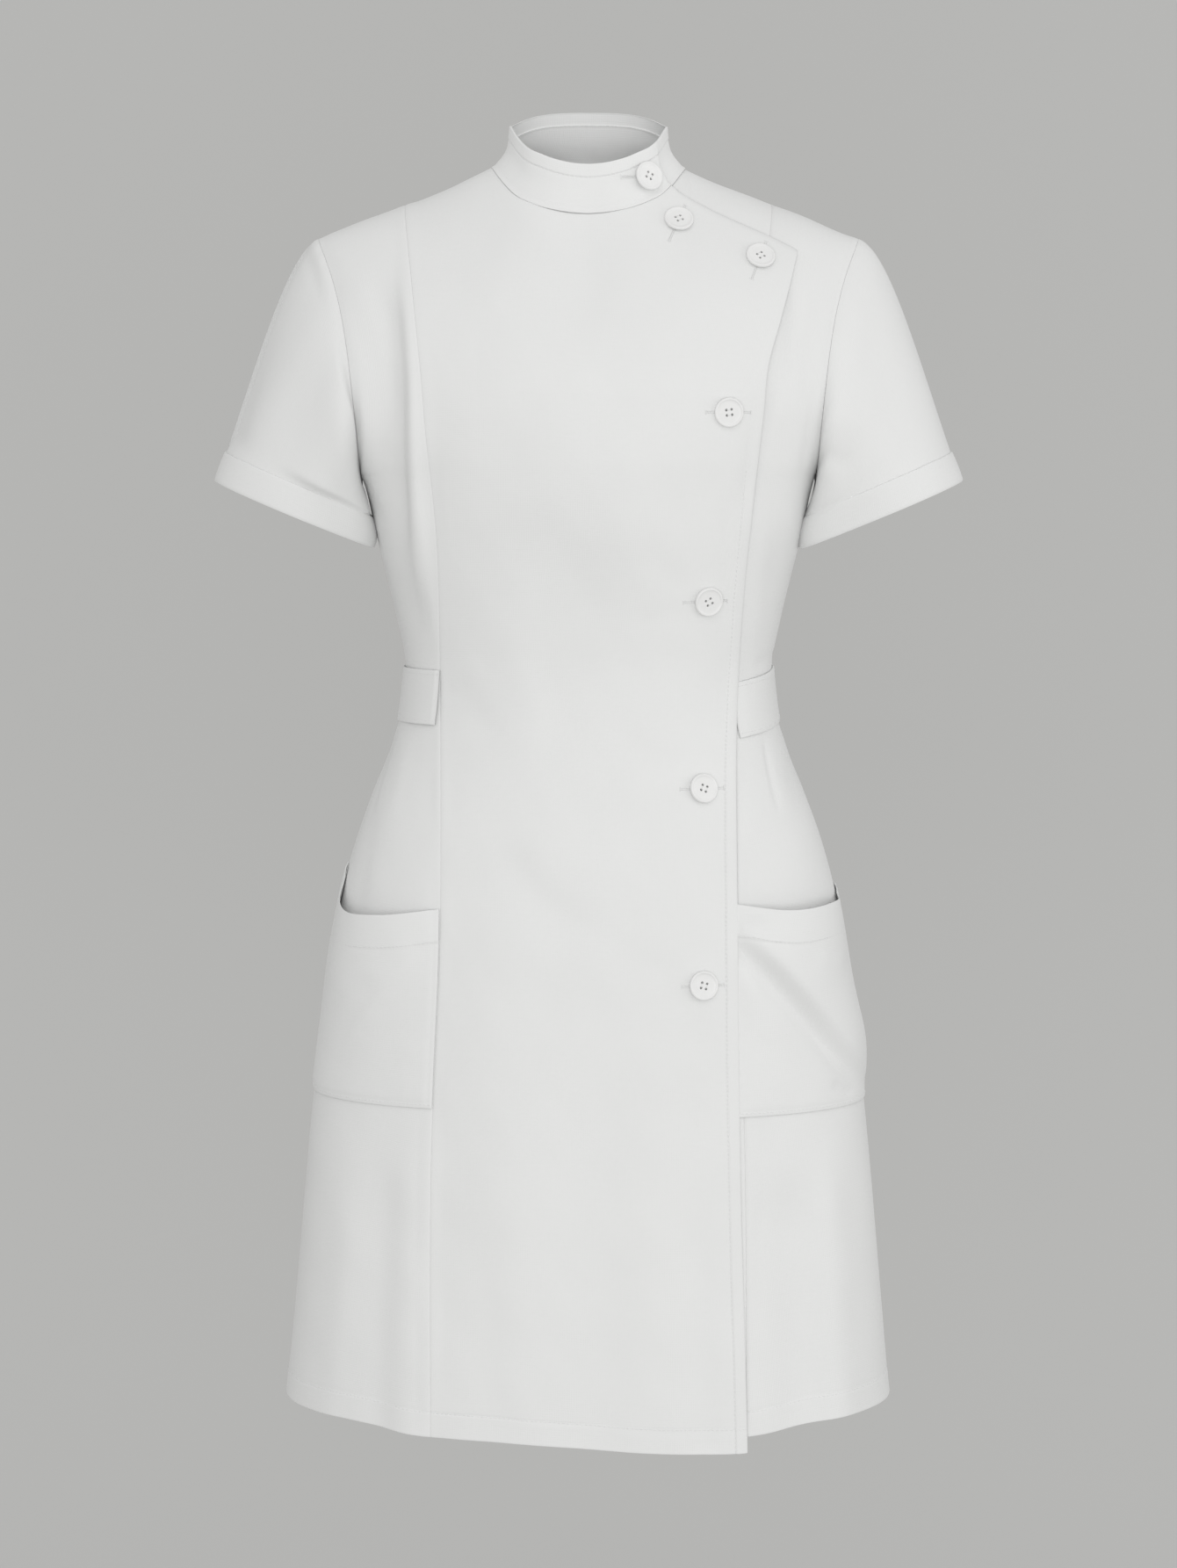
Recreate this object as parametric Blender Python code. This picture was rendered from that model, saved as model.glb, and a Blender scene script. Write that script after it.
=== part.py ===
"""Nurse uniform dress, short sleeved, with an asymmetric button front.

The dress hangs filled out with no wearer: +Z up, its front faces -Y, and the
origin is the centre of the neck opening at the height of the neck points.
All tables and helpers work in millimetres; meshes are written in metres.
"""

import math
from collections import namedtuple

import bmesh
import bpy
from mathutils import Vector

MM = 0.001

# Cloth and seams
WALL = 1.5
SEAM = 0.3
LAP = 1.0
OVERLAP_LIFT = LAP + WALL

# Main places
HEM = -893.0
SIDE_HEM_RISE = 6.5
OVERLAP_HEM_DROP = 11.0
UNDERARM = -222.0
NECK_HALF_WIDTH = 69.0
SHOULDER_HALF_WIDTH = 193.0
PRINCESS_TOP = 131.0
UNDERLAP_EDGE = 25.0
OVERLAP_NECK_END = 58.0
OVERLAP_SHOULDER_END = 147.0

# Squareness of the horizontal sections: 2 is an ellipse
ROUNDNESS = 2.3

# Horizontal sections of the filled-out dress, from the hem up. Above the
# underarm the half width is that of the whole form, which the armholes cut.
Section = namedtuple("Section", "height half_width front back")
SECTIONS = (
    Section(-930, 223.5, 143, 145),
    Section(-893, 220, 141, 143),
    Section(-770, 209, 134, 140),
    Section(-673, 200, 127, 138),
    Section(-609, 192, 122, 136),
    Section(-545, 183, 117, 132),
    Section(-497, 172, 111, 124),
    Section(-449, 155.5, 104, 110),
    Section(-417, 142.5, 99, 98),
    Section(-385, 133.5, 96, 88),
    Section(-354, 132, 97, 86),
    Section(-322, 138.5, 102, 90),
    Section(-290, 146, 108, 97),
    Section(-255, 154.5, 115, 101),
    Section(-222, 162, 119, 104),
    Section(-190, 176, 121, 106),
    Section(-155, 192, 118, 107),
    Section(-120, 199, 112, 104),
    Section(-80, 202, 106, 98),
    Section(-40, 204, 100, 92),
    Section(40, 204, 95, 88),
)

# Shoulder ridge line, and how full the form is between chest and ridge
Ridge = namedtuple("Ridge", "x height front_fullness back_fullness")
RIDGE = (
    Ridge(-10, 24, 1.3, 2.8),
    Ridge(0, 24, 1.3, 2.8),
    Ridge(30, 17, 1.4, 2.6),
    Ridge(69, -3, 1.55, 2.4),
    Ridge(102, -18, 1.65, 2.3),
    Ridge(142, -33, 1.8, 2.2),
    Ridge(193, -53, 2.0, 2.1),
    Ridge(215, -61, 2.0, 2.1),
)
RIDGE_START = {"front": -165.0, "back": -135.0}

# Neck seam, front and back, as heights by distance from the centre
NeckSeam = namedtuple("NeckSeam", "x front back")
NECK_SEAM = (
    NeckSeam(-10, -39, 0),
    NeckSeam(0, -39, 0),
    NeckSeam(20, -37, -0.3),
    NeckSeam(40, -31, -1),
    NeckSeam(54, -22.5, -2),
    NeckSeam(63, -11.5, -2.8),
    NeckSeam(69, -3, -3),
)

# Seam lines on the front: distance from the centre by height
SeamLine = namedtuple("SeamLine", "height x")
PRINCESS_SEAM = (
    SeamLine(-930, 110.5),
    SeamLine(-893, 110.5),
    SeamLine(-665, 109),
    SeamLine(-557, 104.5),
    SeamLine(-362, 105),
    SeamLine(-265, 106),
    SeamLine(-188, 113),
    SeamLine(-141, 117.5),
    SeamLine(-93, 123),
    SeamLine(-30, 131),
)
OVERLAP_EDGE = (
    SeamLine(-930, 111.5),
    SeamLine(-902, 111),
    SeamLine(-716, 106),
    SeamLine(-551, 104),
    SeamLine(-362, 104.5),
    SeamLine(-289, 109),
    SeamLine(-213, 117),
    SeamLine(-177, 121),
    SeamLine(-147, 124),
    SeamLine(-112, 134),
    SeamLine(-91, 140),
    SeamLine(-64, 147),
)
OVERLAP_SHOULDER = (
    SeamLine(-19, 58),
    SeamLine(-38, 91),
    SeamLine(-54, 127),
    SeamLine(-64, 147),
)
ARMHOLE = {
    "front": (
        SeamLine(-222, 162),
        SeamLine(-195, 163),
        SeamLine(-162, 166),
        SeamLine(-130, 170),
        SeamLine(-100, 176),
        SeamLine(-80, 182),
        SeamLine(-53, 193),
    ),
    "back": (
        SeamLine(-222, 162),
        SeamLine(-195, 168),
        SeamLine(-162, 173),
        SeamLine(-130, 177),
        SeamLine(-100, 181),
        SeamLine(-80, 185),
        SeamLine(-53, 193),
    ),
}

# Belt edges and panel rows, so that the belt lies on whole rows
BELT_BOTTOM = -397.0
BELT_TOP = -358.0
BELT_MIDDLE = (BELT_BOTTOM + BELT_TOP) / 2
LEVELS = (
    HEM, -835, -780, -730, -685, -640, -595, -555, -518, -484, -451, -421,
    BELT_BOTTOM, BELT_MIDDLE, BELT_TOP, -335, -310, -283, -252,
    UNDERARM, -219, -212, -200, -184, -165,
)
BACK_EXTRA_LEVELS = (-150, -135)
RIDGE_ROWS = {"front": 6, "back": 6}

# Large soft folds in the cloth: a ridge has a positive height, a trough a
# negative one; each runs between two places seen from the front or back
Fold = namedtuple("Fold", "side x1 z1 x2 z2 reach height")
FOLDS = (
    Fold("front", -145, -75, -141, -200, 11, -5),
    Fold("front", -124, -150, -119, -330, 10, 3.5),
    Fold("front", -124, -640, -128, -893, 14, 4.5),
    Fold("front", -142, -690, -150, -893, 13, -5.5),
    Fold("front", 140, -700, 150, -893, 16, -4),
    Fold("front", 168, -680, 176, -893, 16, 4),
    Fold("front", -60, -480, -68, -893, 30, 2.5),
    Fold("front", 10, -500, 4, -893, 34, -3),
    Fold("front", 143, -130, 132, -300, 14, 2.5),
    Fold("back", -70, -430, -96, -893, 24, 5),
    Fold("back", 64, -430, 92, -893, 24, 5),
    Fold("back", -20, -470, -30, -893, 26, -5),
    Fold("back", 28, -520, 40, -893, 24, -4),
    Fold("back", -120, -110, -104, -240, 16, -4),
    Fold("back", 122, -104, 106, -250, 16, -4),
)

# Sleeve hem ring and the sleeve's run
SLEEVE_HEM_CENTRE = (214.0, 2.0, -248.0)
SLEEVE_HEM_RADIUS = 58.5
SLEEVE_ANGLE = math.radians(22.6)
CUFF_WIDTH = 22.0
SLEEVE_ROWS = 6
CUFF_ROWS = 2
SLEEVE_SEAM_STEP = 0.5

# Collar: rise above the seam, and how the wall leans in on its way up
COLLAR_TOP_SCALE = 0.815
COLLAR_RISE = {"front": 34.5, "side": 29.5, "back": 40.5}
COLLAR_SWEEP = {"front": 2.5, "back": 1.0}
COLLAR_DEPTH_SCALE = {"front": 0.93, "back": 0.93}
CollarRow = namedtuple("CollarRow", "rise lean")
COLLAR_ROWS = (
    CollarRow(0.0, 0.0),
    CollarRow(0.18, 0.42),
    CollarRow(0.38, 0.75),
    CollarRow(0.66, 0.93),
    CollarRow(1.0, 1.0),
)
COLLAR_LAP = 1.3

# Pockets: where they start, their depth and how far the mouth gapes
Pocket = namedtuple("Pocket", "name hand inner_x bottom gape")
POCKETS = (
    Pocket("pocket_left", 1, 107, -669, 12),
    Pocket("pocket_right", -1, 108, -663, 11),
)
MouthPoint = namedtuple("MouthPoint", "across height")
POCKET_MOUTH = {
    "pocket_left": (
        MouthPoint(0, -520),
        MouthPoint(0.25, -527),
        MouthPoint(0.6, -525),
        MouthPoint(0.85, -522),
        MouthPoint(1, -515),
    ),
    "pocket_right": (
        MouthPoint(0, -524),
        MouthPoint(0.3, -531),
        MouthPoint(0.6, -530),
        MouthPoint(0.8, -519),
        MouthPoint(1, -500),
    ),
}
POCKET_COLUMNS = 10
POCKET_ROWS = 8
POCKET_FOLD = Fold("front", 106, -549, 190, -660, 10, -3.5)

# Buttons by their place on the front
BUTTON_RADIUS = 10.3
BUTTON_RIM = 2.2
BUTTON_HEIGHT = 3.2
BUTTON_DISH = 1.0
BUTTON_SIDES = 14
HOLE_RADIUS = 1.25
HOLE_SPACING = 2.3
HOLE_SIDES = 5
BUTTON_GAP = 0.7
COLLAR_BUTTON_X = 47.0
COLLAR_BUTTON_ROW = CollarRow(0.43, 0.79)
COLLAR_BUTTON_GAP = 1.8
ButtonPlace = namedtuple("ButtonPlace", "x z")
BUTTONS = (
    ButtonPlace(63, -43.5),
    ButtonPlace(120, -69.5),
    ButtonPlace(96, -177),
    ButtonPlace(82.5, -308),
    ButtonPlace(79.5, -440),
    ButtonPlace(79.5, -576),
)

WHITE_CLOTH = (0.80, 0.80, 0.79, 1.0)
WHITE_BUTTON = (0.86, 0.86, 0.85, 1.0)


def curve(rows, key, value):
    """Smooth function through a table's rows, straight beyond its ends."""
    pairs = sorted((getattr(row, key), getattr(row, value)) for row in rows)
    keys = [pair[0] for pair in pairs]
    values = [pair[1] for pair in pairs]
    steps = [b - a for a, b in zip(keys, keys[1:])]
    rates = [(b - a) / step for a, b, step in zip(values, values[1:], steps)]
    slopes = [rates[0]]
    for i in range(1, len(rates)):
        span = steps[i - 1] + steps[i]
        slopes.append((rates[i - 1] * steps[i] + rates[i] * steps[i - 1]) / span)
    slopes.append(rates[-1])

    def at(key_value):
        if key_value <= keys[0]:
            return values[0] + slopes[0] * (key_value - keys[0])
        if key_value >= keys[-1]:
            return values[-1] + slopes[-1] * (key_value - keys[-1])
        i = 0
        while keys[i + 1] < key_value:
            i += 1
        t = (key_value - keys[i]) / steps[i]
        start = (2 * t**3 - 3 * t**2 + 1) * values[i] + (t**3 - 2 * t**2 + t) * steps[i] * slopes[i]
        end = (3 * t**2 - 2 * t**3) * values[i + 1] + (t**3 - t**2) * steps[i] * slopes[i + 1]
        return start + end

    return at


half_width = curve(SECTIONS, "height", "half_width")
section_depth = {side: curve(SECTIONS, "height", side) for side in ("front", "back")}
ridge_height = curve(RIDGE, "x", "height")
fullness = {side: curve(RIDGE, "x", side + "_fullness") for side in ("front", "back")}
neck_height = {side: curve(NECK_SEAM, "x", side) for side in ("front", "back")}
princess_x = curve(PRINCESS_SEAM, "height", "x")
overlap_x = curve(OVERLAP_EDGE, "height", "x")
overlap_shoulder = curve(OVERLAP_SHOULDER, "x", "height")
armhole_x = {side: curve(ARMHOLE[side], "height", "x") for side in ("front", "back")}
FACING = {"front": -1, "back": 1}


def ease(t):
    """Smooth step from 0 to 1."""
    t = min(max(t, 0.0), 1.0)
    return t * t * (3 - 2 * t)


def mix(a, b, t):
    return a + (b - a) * t


def spread(*stops):
    """Evenly spaced values between stops; stops and step counts take turns."""
    values = [stops[0]]
    for count, end in zip(stops[1::2], stops[2::2]):
        start = values[-1]
        values += [mix(start, end, (i + 1) / count) for i in range(count)]
    return values


def neck_spread(start, count, end):
    """Places across the neck, evenly turned round it, from one end to the other."""
    first = math.asin(start / NECK_HALF_WIDTH)
    last = math.asin(end / NECK_HALF_WIDTH)
    return [NECK_HALF_WIDTH * math.sin(angle) for angle in spread(first, count, last)]


def form_point(side, x, z):
    """Point of the filled-out form at a place seen from the front."""
    share = min(abs(x) / half_width(z), 1.0)
    depth = section_depth[side](z) * (1 - share**ROUNDNESS) ** (1 / ROUNDNESS)
    start = RIDGE_START[side]
    if z > start:
        full = fullness[side](abs(x))
        rise = min((z - start) / (ridge_height(abs(x)) - start), 1.0)
        depth *= (1 - rise**full) ** (1 / full)
    return Vector((x, FACING[side] * depth, z))


def form_level(side, point):
    """Zero on the form, positive outside it."""
    share = abs(point.x) / half_width(point.z)
    reach = abs(point.y) / section_depth[side](point.z)
    start = RIDGE_START[side]
    if point.z <= start:
        return share**ROUNDNESS + reach**ROUNDNESS - 1
    full = fullness[side](abs(point.x))
    rise = (point.z - start) / (ridge_height(abs(point.x)) - start)
    narrow = max(1 - share**ROUNDNESS, 1e-6) ** (1 / ROUNDNESS)
    return (reach / narrow) ** full + rise**full - 1


def form_normal(side, point):
    """Outward direction of the form, the same for all panels that meet there."""
    step = 0.05
    slopes = []
    for axis in (Vector((1, 0, 0)), Vector((0, 1, 0)), Vector((0, 0, 1))):
        ahead = form_level(side, point + step * axis)
        behind = form_level(side, point - step * axis)
        slopes.append(ahead - behind)
    return Vector(slopes).normalized()


def fold_height(side, point, folds=FOLDS):
    """How far the folds lift or sink the cloth at a point."""
    total = 0.0
    for fold in folds:
        if fold.side != side:
            continue
        run = Vector((fold.x2 - fold.x1, fold.z2 - fold.z1))
        here = Vector((point.x - fold.x1, point.z - fold.z1))
        along = here.dot(run) / run.length_squared
        off = (here - min(max(along, 0.0), 1.0) * run).length / fold.reach
        hem_end = fold.z2 <= HEM + 1
        fade = ease(along / 0.3) if hem_end else ease(along / 0.3) * ease((1 - along) / 0.3)
        total += fold.height * math.exp(-off * off) * fade
    return total


def ring_angle(x, z):
    """Angle round a section, from 0 at its middle to a right angle at its side."""
    share = min(abs(x) / half_width(z), 1.0)
    return math.copysign(math.asin(share ** (ROUNDNESS / 2)), x)


def ring_x(angle, z):
    return math.copysign(half_width(z) * abs(math.sin(angle)) ** (2 / ROUNDNESS), angle)


def ridge_z(side, x, angle):
    """Height on the rounded shoulder, whose angle runs to a right angle at the ridge."""
    start = RIDGE_START[side]
    rise = math.sin(angle) ** (2 / fullness[side](abs(x)))
    return start + (ridge_height(abs(x)) - start) * rise


def ridge_angle(side, x, z):
    start = RIDGE_START[side]
    rise = min((z - start) / (ridge_height(abs(x)) - start), 1.0)
    return math.asin(rise ** (fullness[side](abs(x)) / 2))


def seam_on_ridge(side, line, angle):
    """Where a seam line crosses one row of the rounded shoulder."""
    z = RIDGE_START[side]
    for _ in range(12):
        x = line(z)
        z = ridge_z(side, x, angle)
    return x


def ridge_row_points(side, left, right, tops, top_height, share):
    """One row of the rounded shoulder, between two seam lines."""
    start = RIDGE_START[side]
    angles = [ridge_angle(side, x, top_height(x)) for x in tops]
    first = seam_on_ridge(side, left, angles[0] * share)
    last = seam_on_ridge(side, right, angles[-1] * share)
    low = ring_angle(left(start), start)
    high = ring_angle(right(start), start)
    points = []
    for i, (top, angle) in enumerate(zip(tops, angles)):
        bottom_x = ring_x(mix(low, high, i / (len(tops) - 1)), start)
        bottom_part = (bottom_x - left(start)) / (right(start) - left(start))
        top_part = (top - tops[0]) / (tops[-1] - tops[0])
        x = mix(first, last, mix(bottom_part, top_part, share))
        points.append(form_point(side, x, ridge_z(side, x, angle * share)))
    return points


def hem_height(x):
    """The hem rises a little towards the side seams."""
    return HEM + SIDE_HEM_RISE * ease((abs(x) - 105) / 80)


def panel_rows(side, left, right, tops, top_height, hem=hem_height):
    """Rows of points from the hem to the top seam, between two seam lines."""
    levels = list(LEVELS)
    if side == "back":
        levels += BACK_EXTRA_LEVELS
    rows = []
    for z in levels:
        low = ring_angle(left(z), z)
        high = ring_angle(right(z), z)
        xs = [ring_x(mix(low, high, i / (len(tops) - 1)), z) for i in range(len(tops))]
        if z == HEM:
            rows.append([form_point(side, x, hem(x)) for x in xs])
        else:
            rows.append([form_point(side, x, z) for x in xs])
    count = RIDGE_ROWS[side]
    for i in range(count):
        share = (i + 1) / count
        rows.append(ridge_row_points(side, left, right, tops, top_height, share))
    return rows


def seat_edges(rows):
    """Draw a panel's seamed sides in, so that half a seam gap is left there."""
    for row in rows:
        for edge, inner in ((0, 1), (-1, -2)):
            step = (row[inner] - row[edge]).normalized()
            row[edge] = row[edge] + step * SEAM / 2
    top = rows[-1]
    for i, point in enumerate(top):
        if abs(point.y) < SEAM:
            side = math.copysign(1, rows[-2][i].y)
            top[i] = Vector((point.x, side * SEAM / 2, point.z))


def face_offsets(side, rows, lift=lambda point: 0.0):
    """Outer and inner faces of a panel on the form."""
    outer = []
    inner = []
    for row in rows:
        outer.append([])
        inner.append([])
        for point in row:
            normal = form_normal(side, point)
            if abs(point.y) < SEAM:
                normal.y = 0
                normal.normalize()
            face = point + normal * (fold_height(side, point) + lift(point))
            outer[-1].append(face)
            inner[-1].append(face - normal * WALL)
    return outer, inner


def build_object(name, mesh, material, smooth=True):
    """Put a finished bmesh in the scene as one named object."""
    bmesh.ops.recalc_face_normals(mesh, faces=mesh.faces)
    data = bpy.data.meshes.new(name)
    mesh.to_mesh(data)
    mesh.free()
    if smooth:
        data.shade_smooth()
        data.set_sharp_from_angle(angle=math.radians(40))
    data.materials.append(material)
    thing = bpy.data.objects.new(name, data)
    bpy.context.collection.objects.link(thing)
    return thing


def build_wall(name, outer, inner, material, tube=False):
    """Closed solid between two grids of points, all split along the same diagonal."""
    mesh = bmesh.new()
    grids = []
    for grid in (outer, inner):
        grids.append([[mesh.verts.new(point * MM) for point in row] for row in grid])
    front, behind = grids
    last = len(outer) - 1
    count = len(outer[0])
    spans = count if tube else count - 1
    for row in range(last):
        for i in range(spans):
            j = (i + 1) % count
            for grid in (front, behind):
                mesh.faces.new((grid[row][i], grid[row][j], grid[row + 1][j]))
                mesh.faces.new((grid[row][i], grid[row + 1][j], grid[row + 1][i]))
    for i in range(spans):
        j = (i + 1) % count
        mesh.faces.new((front[0][j], front[0][i], behind[0][i], behind[0][j]))
        mesh.faces.new((front[last][i], front[last][j], behind[last][j], behind[last][i]))
    if not tube:
        for row in range(last):
            up = row + 1
            mesh.faces.new((front[row][0], front[up][0], behind[up][0], behind[row][0]))
            mesh.faces.new((front[up][-1], front[row][-1], behind[row][-1], behind[up][-1]))
    return build_object(name, mesh, material)


def make_material(name, colour, roughness):
    material = bpy.data.materials.new(name)
    material.use_nodes = True
    shader = material.node_tree.nodes["Principled BSDF"]
    shader.inputs["Base Color"].default_value = colour
    shader.inputs["Roughness"].default_value = roughness
    shader.inputs["Metallic"].default_value = 0.0
    material.diffuse_color = colour
    return material


def cloth(name):
    return make_material(name + "_cloth", WHITE_CLOTH, 0.85)


def neck_or_ridge(side):
    """Height of a panel's top edge: the neck seam, then the shoulder ridge."""
    def height(x):
        if abs(x) < NECK_HALF_WIDTH:
            return neck_height[side](abs(x))
        return ridge_height(abs(x))
    return height


def side_line(side, hand):
    """Outer edge of a side panel: the side seam, then the armhole."""
    def line(z):
        if z <= UNDERARM:
            return hand * half_width(z)
        return hand * armhole_x[side](z)
    return line


def princess_line(hand):
    return lambda z: hand * princess_x(z)


def overlap_top(x):
    """Top edge of the overlapping front, down from the neck seam to its own edge."""
    if x <= OVERLAP_NECK_END:
        return neck_or_ridge("front")(x)
    return overlap_shoulder(x)


def overlap_lift(point):
    """The overlapping front is flush at its seam and rides over the other front."""
    return OVERLAP_LIFT * ease((point.x + 105) / 110)


def overlap_hem(x):
    """The overlapping front hangs a little lower towards its free edge."""
    return hem_height(x) - OVERLAP_HEM_DROP * ease((x + 110) / 220)


def build_front_overlap():
    """Wide left front that laps over the other one and carries the buttonholes."""
    tops = spread(-PRINCESS_TOP, 3, -NECK_HALF_WIDTH)
    tops += neck_spread(-NECK_HALF_WIDTH, 9, OVERLAP_NECK_END)[1:]
    tops += spread(OVERLAP_NECK_END, 4, OVERLAP_SHOULDER_END)[1:]
    rows = panel_rows("front", princess_line(-1), overlap_x, tops, overlap_top, overlap_hem)
    seat_edges(rows)
    outer, inner = face_offsets("front", rows, overlap_lift)
    return build_wall("front_overlap", outer, inner, cloth("front_overlap"))


def build_front_underlap():
    """Front that lies under the overlap; its free edge is hidden there."""
    tops = neck_spread(UNDERLAP_EDGE, 4, NECK_HALF_WIDTH)
    tops += spread(NECK_HALF_WIDTH, 3, PRINCESS_TOP)[1:]
    height = neck_or_ridge("front")
    rows = panel_rows("front", lambda z: UNDERLAP_EDGE, princess_line(1), tops, height)
    seat_edges(rows)
    outer, inner = face_offsets("front", rows)
    return build_wall("front_underlap", outer, inner, cloth("front_underlap"))


def build_front_side(name, hand):
    """Side front between the princess seam, the side seam and the armhole."""
    tops = [hand * x for x in spread(PRINCESS_TOP, 7, SHOULDER_HALF_WIDTH)]
    height = neck_or_ridge("front")
    rows = panel_rows("front", princess_line(hand), side_line("front", hand), tops, height)
    seat_edges(rows)
    outer, inner = face_offsets("front", rows)
    return build_wall(name, outer, inner, cloth(name))


def build_back():
    """Back in one piece from side seam to side seam."""
    width = SHOULDER_HALF_WIDTH
    neck = NECK_HALF_WIDTH
    tops = spread(-width, 6, -neck) + neck_spread(-neck, 12, neck)[1:] + spread(neck, 6, width)[1:]
    height = neck_or_ridge("back")
    rows = panel_rows("back", side_line("back", -1), side_line("back", 1), tops, height)
    seat_edges(rows)
    outer, inner = face_offsets("back", rows)
    return build_wall("back", outer, inner, cloth("back"))


def armhole_edge(side, hand):
    """Armhole points from the shoulder tip down to the underarm."""
    line = side_line(side, hand)
    levels = [z for z in LEVELS if z >= UNDERARM]
    if side == "back":
        levels += BACK_EXTRA_LEVELS
    points = [form_point(side, line(z), z) for z in levels]
    count = RIDGE_ROWS[side]
    for i in range(count):
        angle = (i + 1) / count * math.pi / 2
        x = seam_on_ridge(side, line, angle)
        points.append(form_point(side, x, ridge_z(side, x, angle)))
    return points[::-1]


def armhole_loop(hand):
    """Whole armhole: down the front from the tip and up the back, not repeating ends."""
    front = armhole_edge("front", hand)
    back = armhole_edge("back", hand)
    return front, back


def turn_shares(points):
    """Share of the way along a run of points at each point."""
    lengths = [0.0]
    for a, b in zip(points, points[1:]):
        lengths.append(lengths[-1] + (b - a).length)
    return [length / lengths[-1] for length in lengths]


def sleeve_columns(hand):
    """Start point and turn angle of each column round the sleeve."""
    front, back = armhole_loop(hand)
    columns = []
    for point, share in zip(front, turn_shares(front)):
        columns.append((point, math.pi * share))
    for point, share in list(zip(back, turn_shares(back)))[-2:0:-1]:
        columns.append((point, 2 * math.pi - math.pi * share))
    return columns


def sleeve_curve(hand, start, turn):
    """Smooth run of one sleeve column from the armhole to the sleeve hem."""
    out = Vector((hand * math.cos(SLEEVE_ANGLE), 0, math.sin(SLEEVE_ANGLE)))
    down = Vector((hand * math.sin(SLEEVE_ANGLE), 0, -math.cos(SLEEVE_ANGLE)))
    centre = Vector(SLEEVE_HEM_CENTRE)
    centre.x *= hand
    first = start + Vector((hand * SLEEVE_SEAM_STEP, 0, 0))
    last = centre + SLEEVE_HEM_RADIUS * (math.cos(turn) * out - math.sin(turn) * Vector((0, 1, 0)))
    top = (1 + math.cos(turn)) / 2
    leave = Vector((hand * mix(0.12, 1, top), -0.45 * math.sin(turn), mix(-1, -0.35, top)))
    leave.normalize()
    length = (last - first).length
    second = first + leave * length * mix(0.3, 0.14, top)
    third = last - down * length * 0.32

    def at(t):
        s = 1 - t
        return s**3 * first + 3 * s**2 * t * second + 3 * s * t**2 * third + t**3 * last

    return at


def share_before_end(run, distance):
    """Where on a run the given distance is left to its end."""
    steps = 200
    left = 0.0
    here = run(1.0)
    for i in range(steps - 1, -1, -1):
        ahead = run(i / steps)
        left += (here - ahead).length
        here = ahead
        if left >= distance:
            return i / steps
    return 0.0


def sleeve_rows(hand):
    """Rings of the sleeve's outer face; the last ones lie under the cuff."""
    runs = [sleeve_curve(hand, start, turn) for start, turn in sleeve_columns(hand)]
    cuffs = [share_before_end(run, CUFF_WIDTH) for run in runs]
    rows = []
    for i in range(SLEEVE_ROWS + 1):
        share = (i / SLEEVE_ROWS) ** 1.25
        rows.append([run(cuff * share) for run, cuff in zip(runs, cuffs)])
    for i in range(CUFF_ROWS):
        share = (i + 1) / CUFF_ROWS
        rows.append([run(mix(cuff, 1, share)) for run, cuff in zip(runs, cuffs)])
    return rows


def tube_normals(rows):
    """Outward direction at each point of a tube of rings."""
    normals = []
    for i, row in enumerate(rows):
        above = rows[max(i - 1, 0)]
        below = rows[min(i + 1, len(rows) - 1)]
        middle = sum(row, Vector()) / len(row)
        normals.append([])
        for j, point in enumerate(row):
            round_step = row[(j + 1) % len(row)] - row[j - 1]
            normal = round_step.cross(below[j] - above[j]).normalized()
            if normal.dot(point - middle) < 0:
                normal.negate()
            normals[-1].append(normal)
    return normals


def moved(rows, normals, distance):
    return [[p + n * distance for p, n in zip(row, ns)] for row, ns in zip(rows, normals)]


def build_sleeve(name, hand):
    """Set-in short sleeve."""
    rows = sleeve_rows(hand)
    inner = moved(rows, tube_normals(rows), -WALL)
    return build_wall(name, rows, inner, cloth(name), tube=True)


def build_cuff(name, hand):
    """Turned-up band, made from the sleeve's last rings, moved out."""
    rows = sleeve_rows(hand)
    normals = tube_normals(rows)
    rows = rows[-CUFF_ROWS - 1:]
    normals = normals[-CUFF_ROWS - 1:]
    outer = moved(rows, normals, SEAM + WALL)
    inner = moved(rows, normals, SEAM)
    return build_wall(name, outer, inner, cloth(name), tube=True)


def neck_edge(side, x, lift):
    """Foot of the collar just above a panel's neck edge."""
    point = form_point(side, x, neck_or_ridge(side)(x))
    normal = form_normal(side, point)
    if abs(point.y) < SEAM:
        normal.y = 0
        normal.normalize()
    inward = Vector((-point.x, -point.y, 0)).normalized()
    rising = (inward - normal * inward.dot(normal)).normalized()
    return point + normal * lift + rising * 2 * SEAM


def collar_feet():
    """Feet of the collar from its hidden end round the back to its lapping end."""
    neck = NECK_HALF_WIDTH
    places = [("front", x, 0.0) for x in neck_spread(UNDERLAP_EDGE, 4, neck)]
    places += [("back", x, 0.0) for x in neck_spread(neck, 12, -neck)[1:]]
    for x in neck_spread(-neck, 9, OVERLAP_NECK_END)[1:]:
        places.append(("front", x, OVERLAP_LIFT * ease((x + 105) / 110)))
    return places


def collar_point(place, row, distance):
    """Point of the collar wall; distance moves it outwards from the outer face."""
    side, x, lift = place
    foot = neck_edge(side, x, lift)
    turn = abs(foot.y) / section_reach(side)
    rise = mix(COLLAR_RISE["side"], COLLAR_RISE[side], ease(turn ** COLLAR_SWEEP[side]))
    narrow = mix(1.0, COLLAR_TOP_SCALE, row.lean)
    shallow = mix(1.0, COLLAR_DEPTH_SCALE[side], row.lean)
    outwards = Vector((foot.x, foot.y, 0)).normalized()
    lap = COLLAR_LAP * ease((x + 40) / 60) if lift > 0 else 0.0
    place_on_wall = Vector((foot.x * narrow, foot.y * shallow, foot.z + rise * row.rise))
    return place_on_wall + outwards * (distance + lap)


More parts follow.
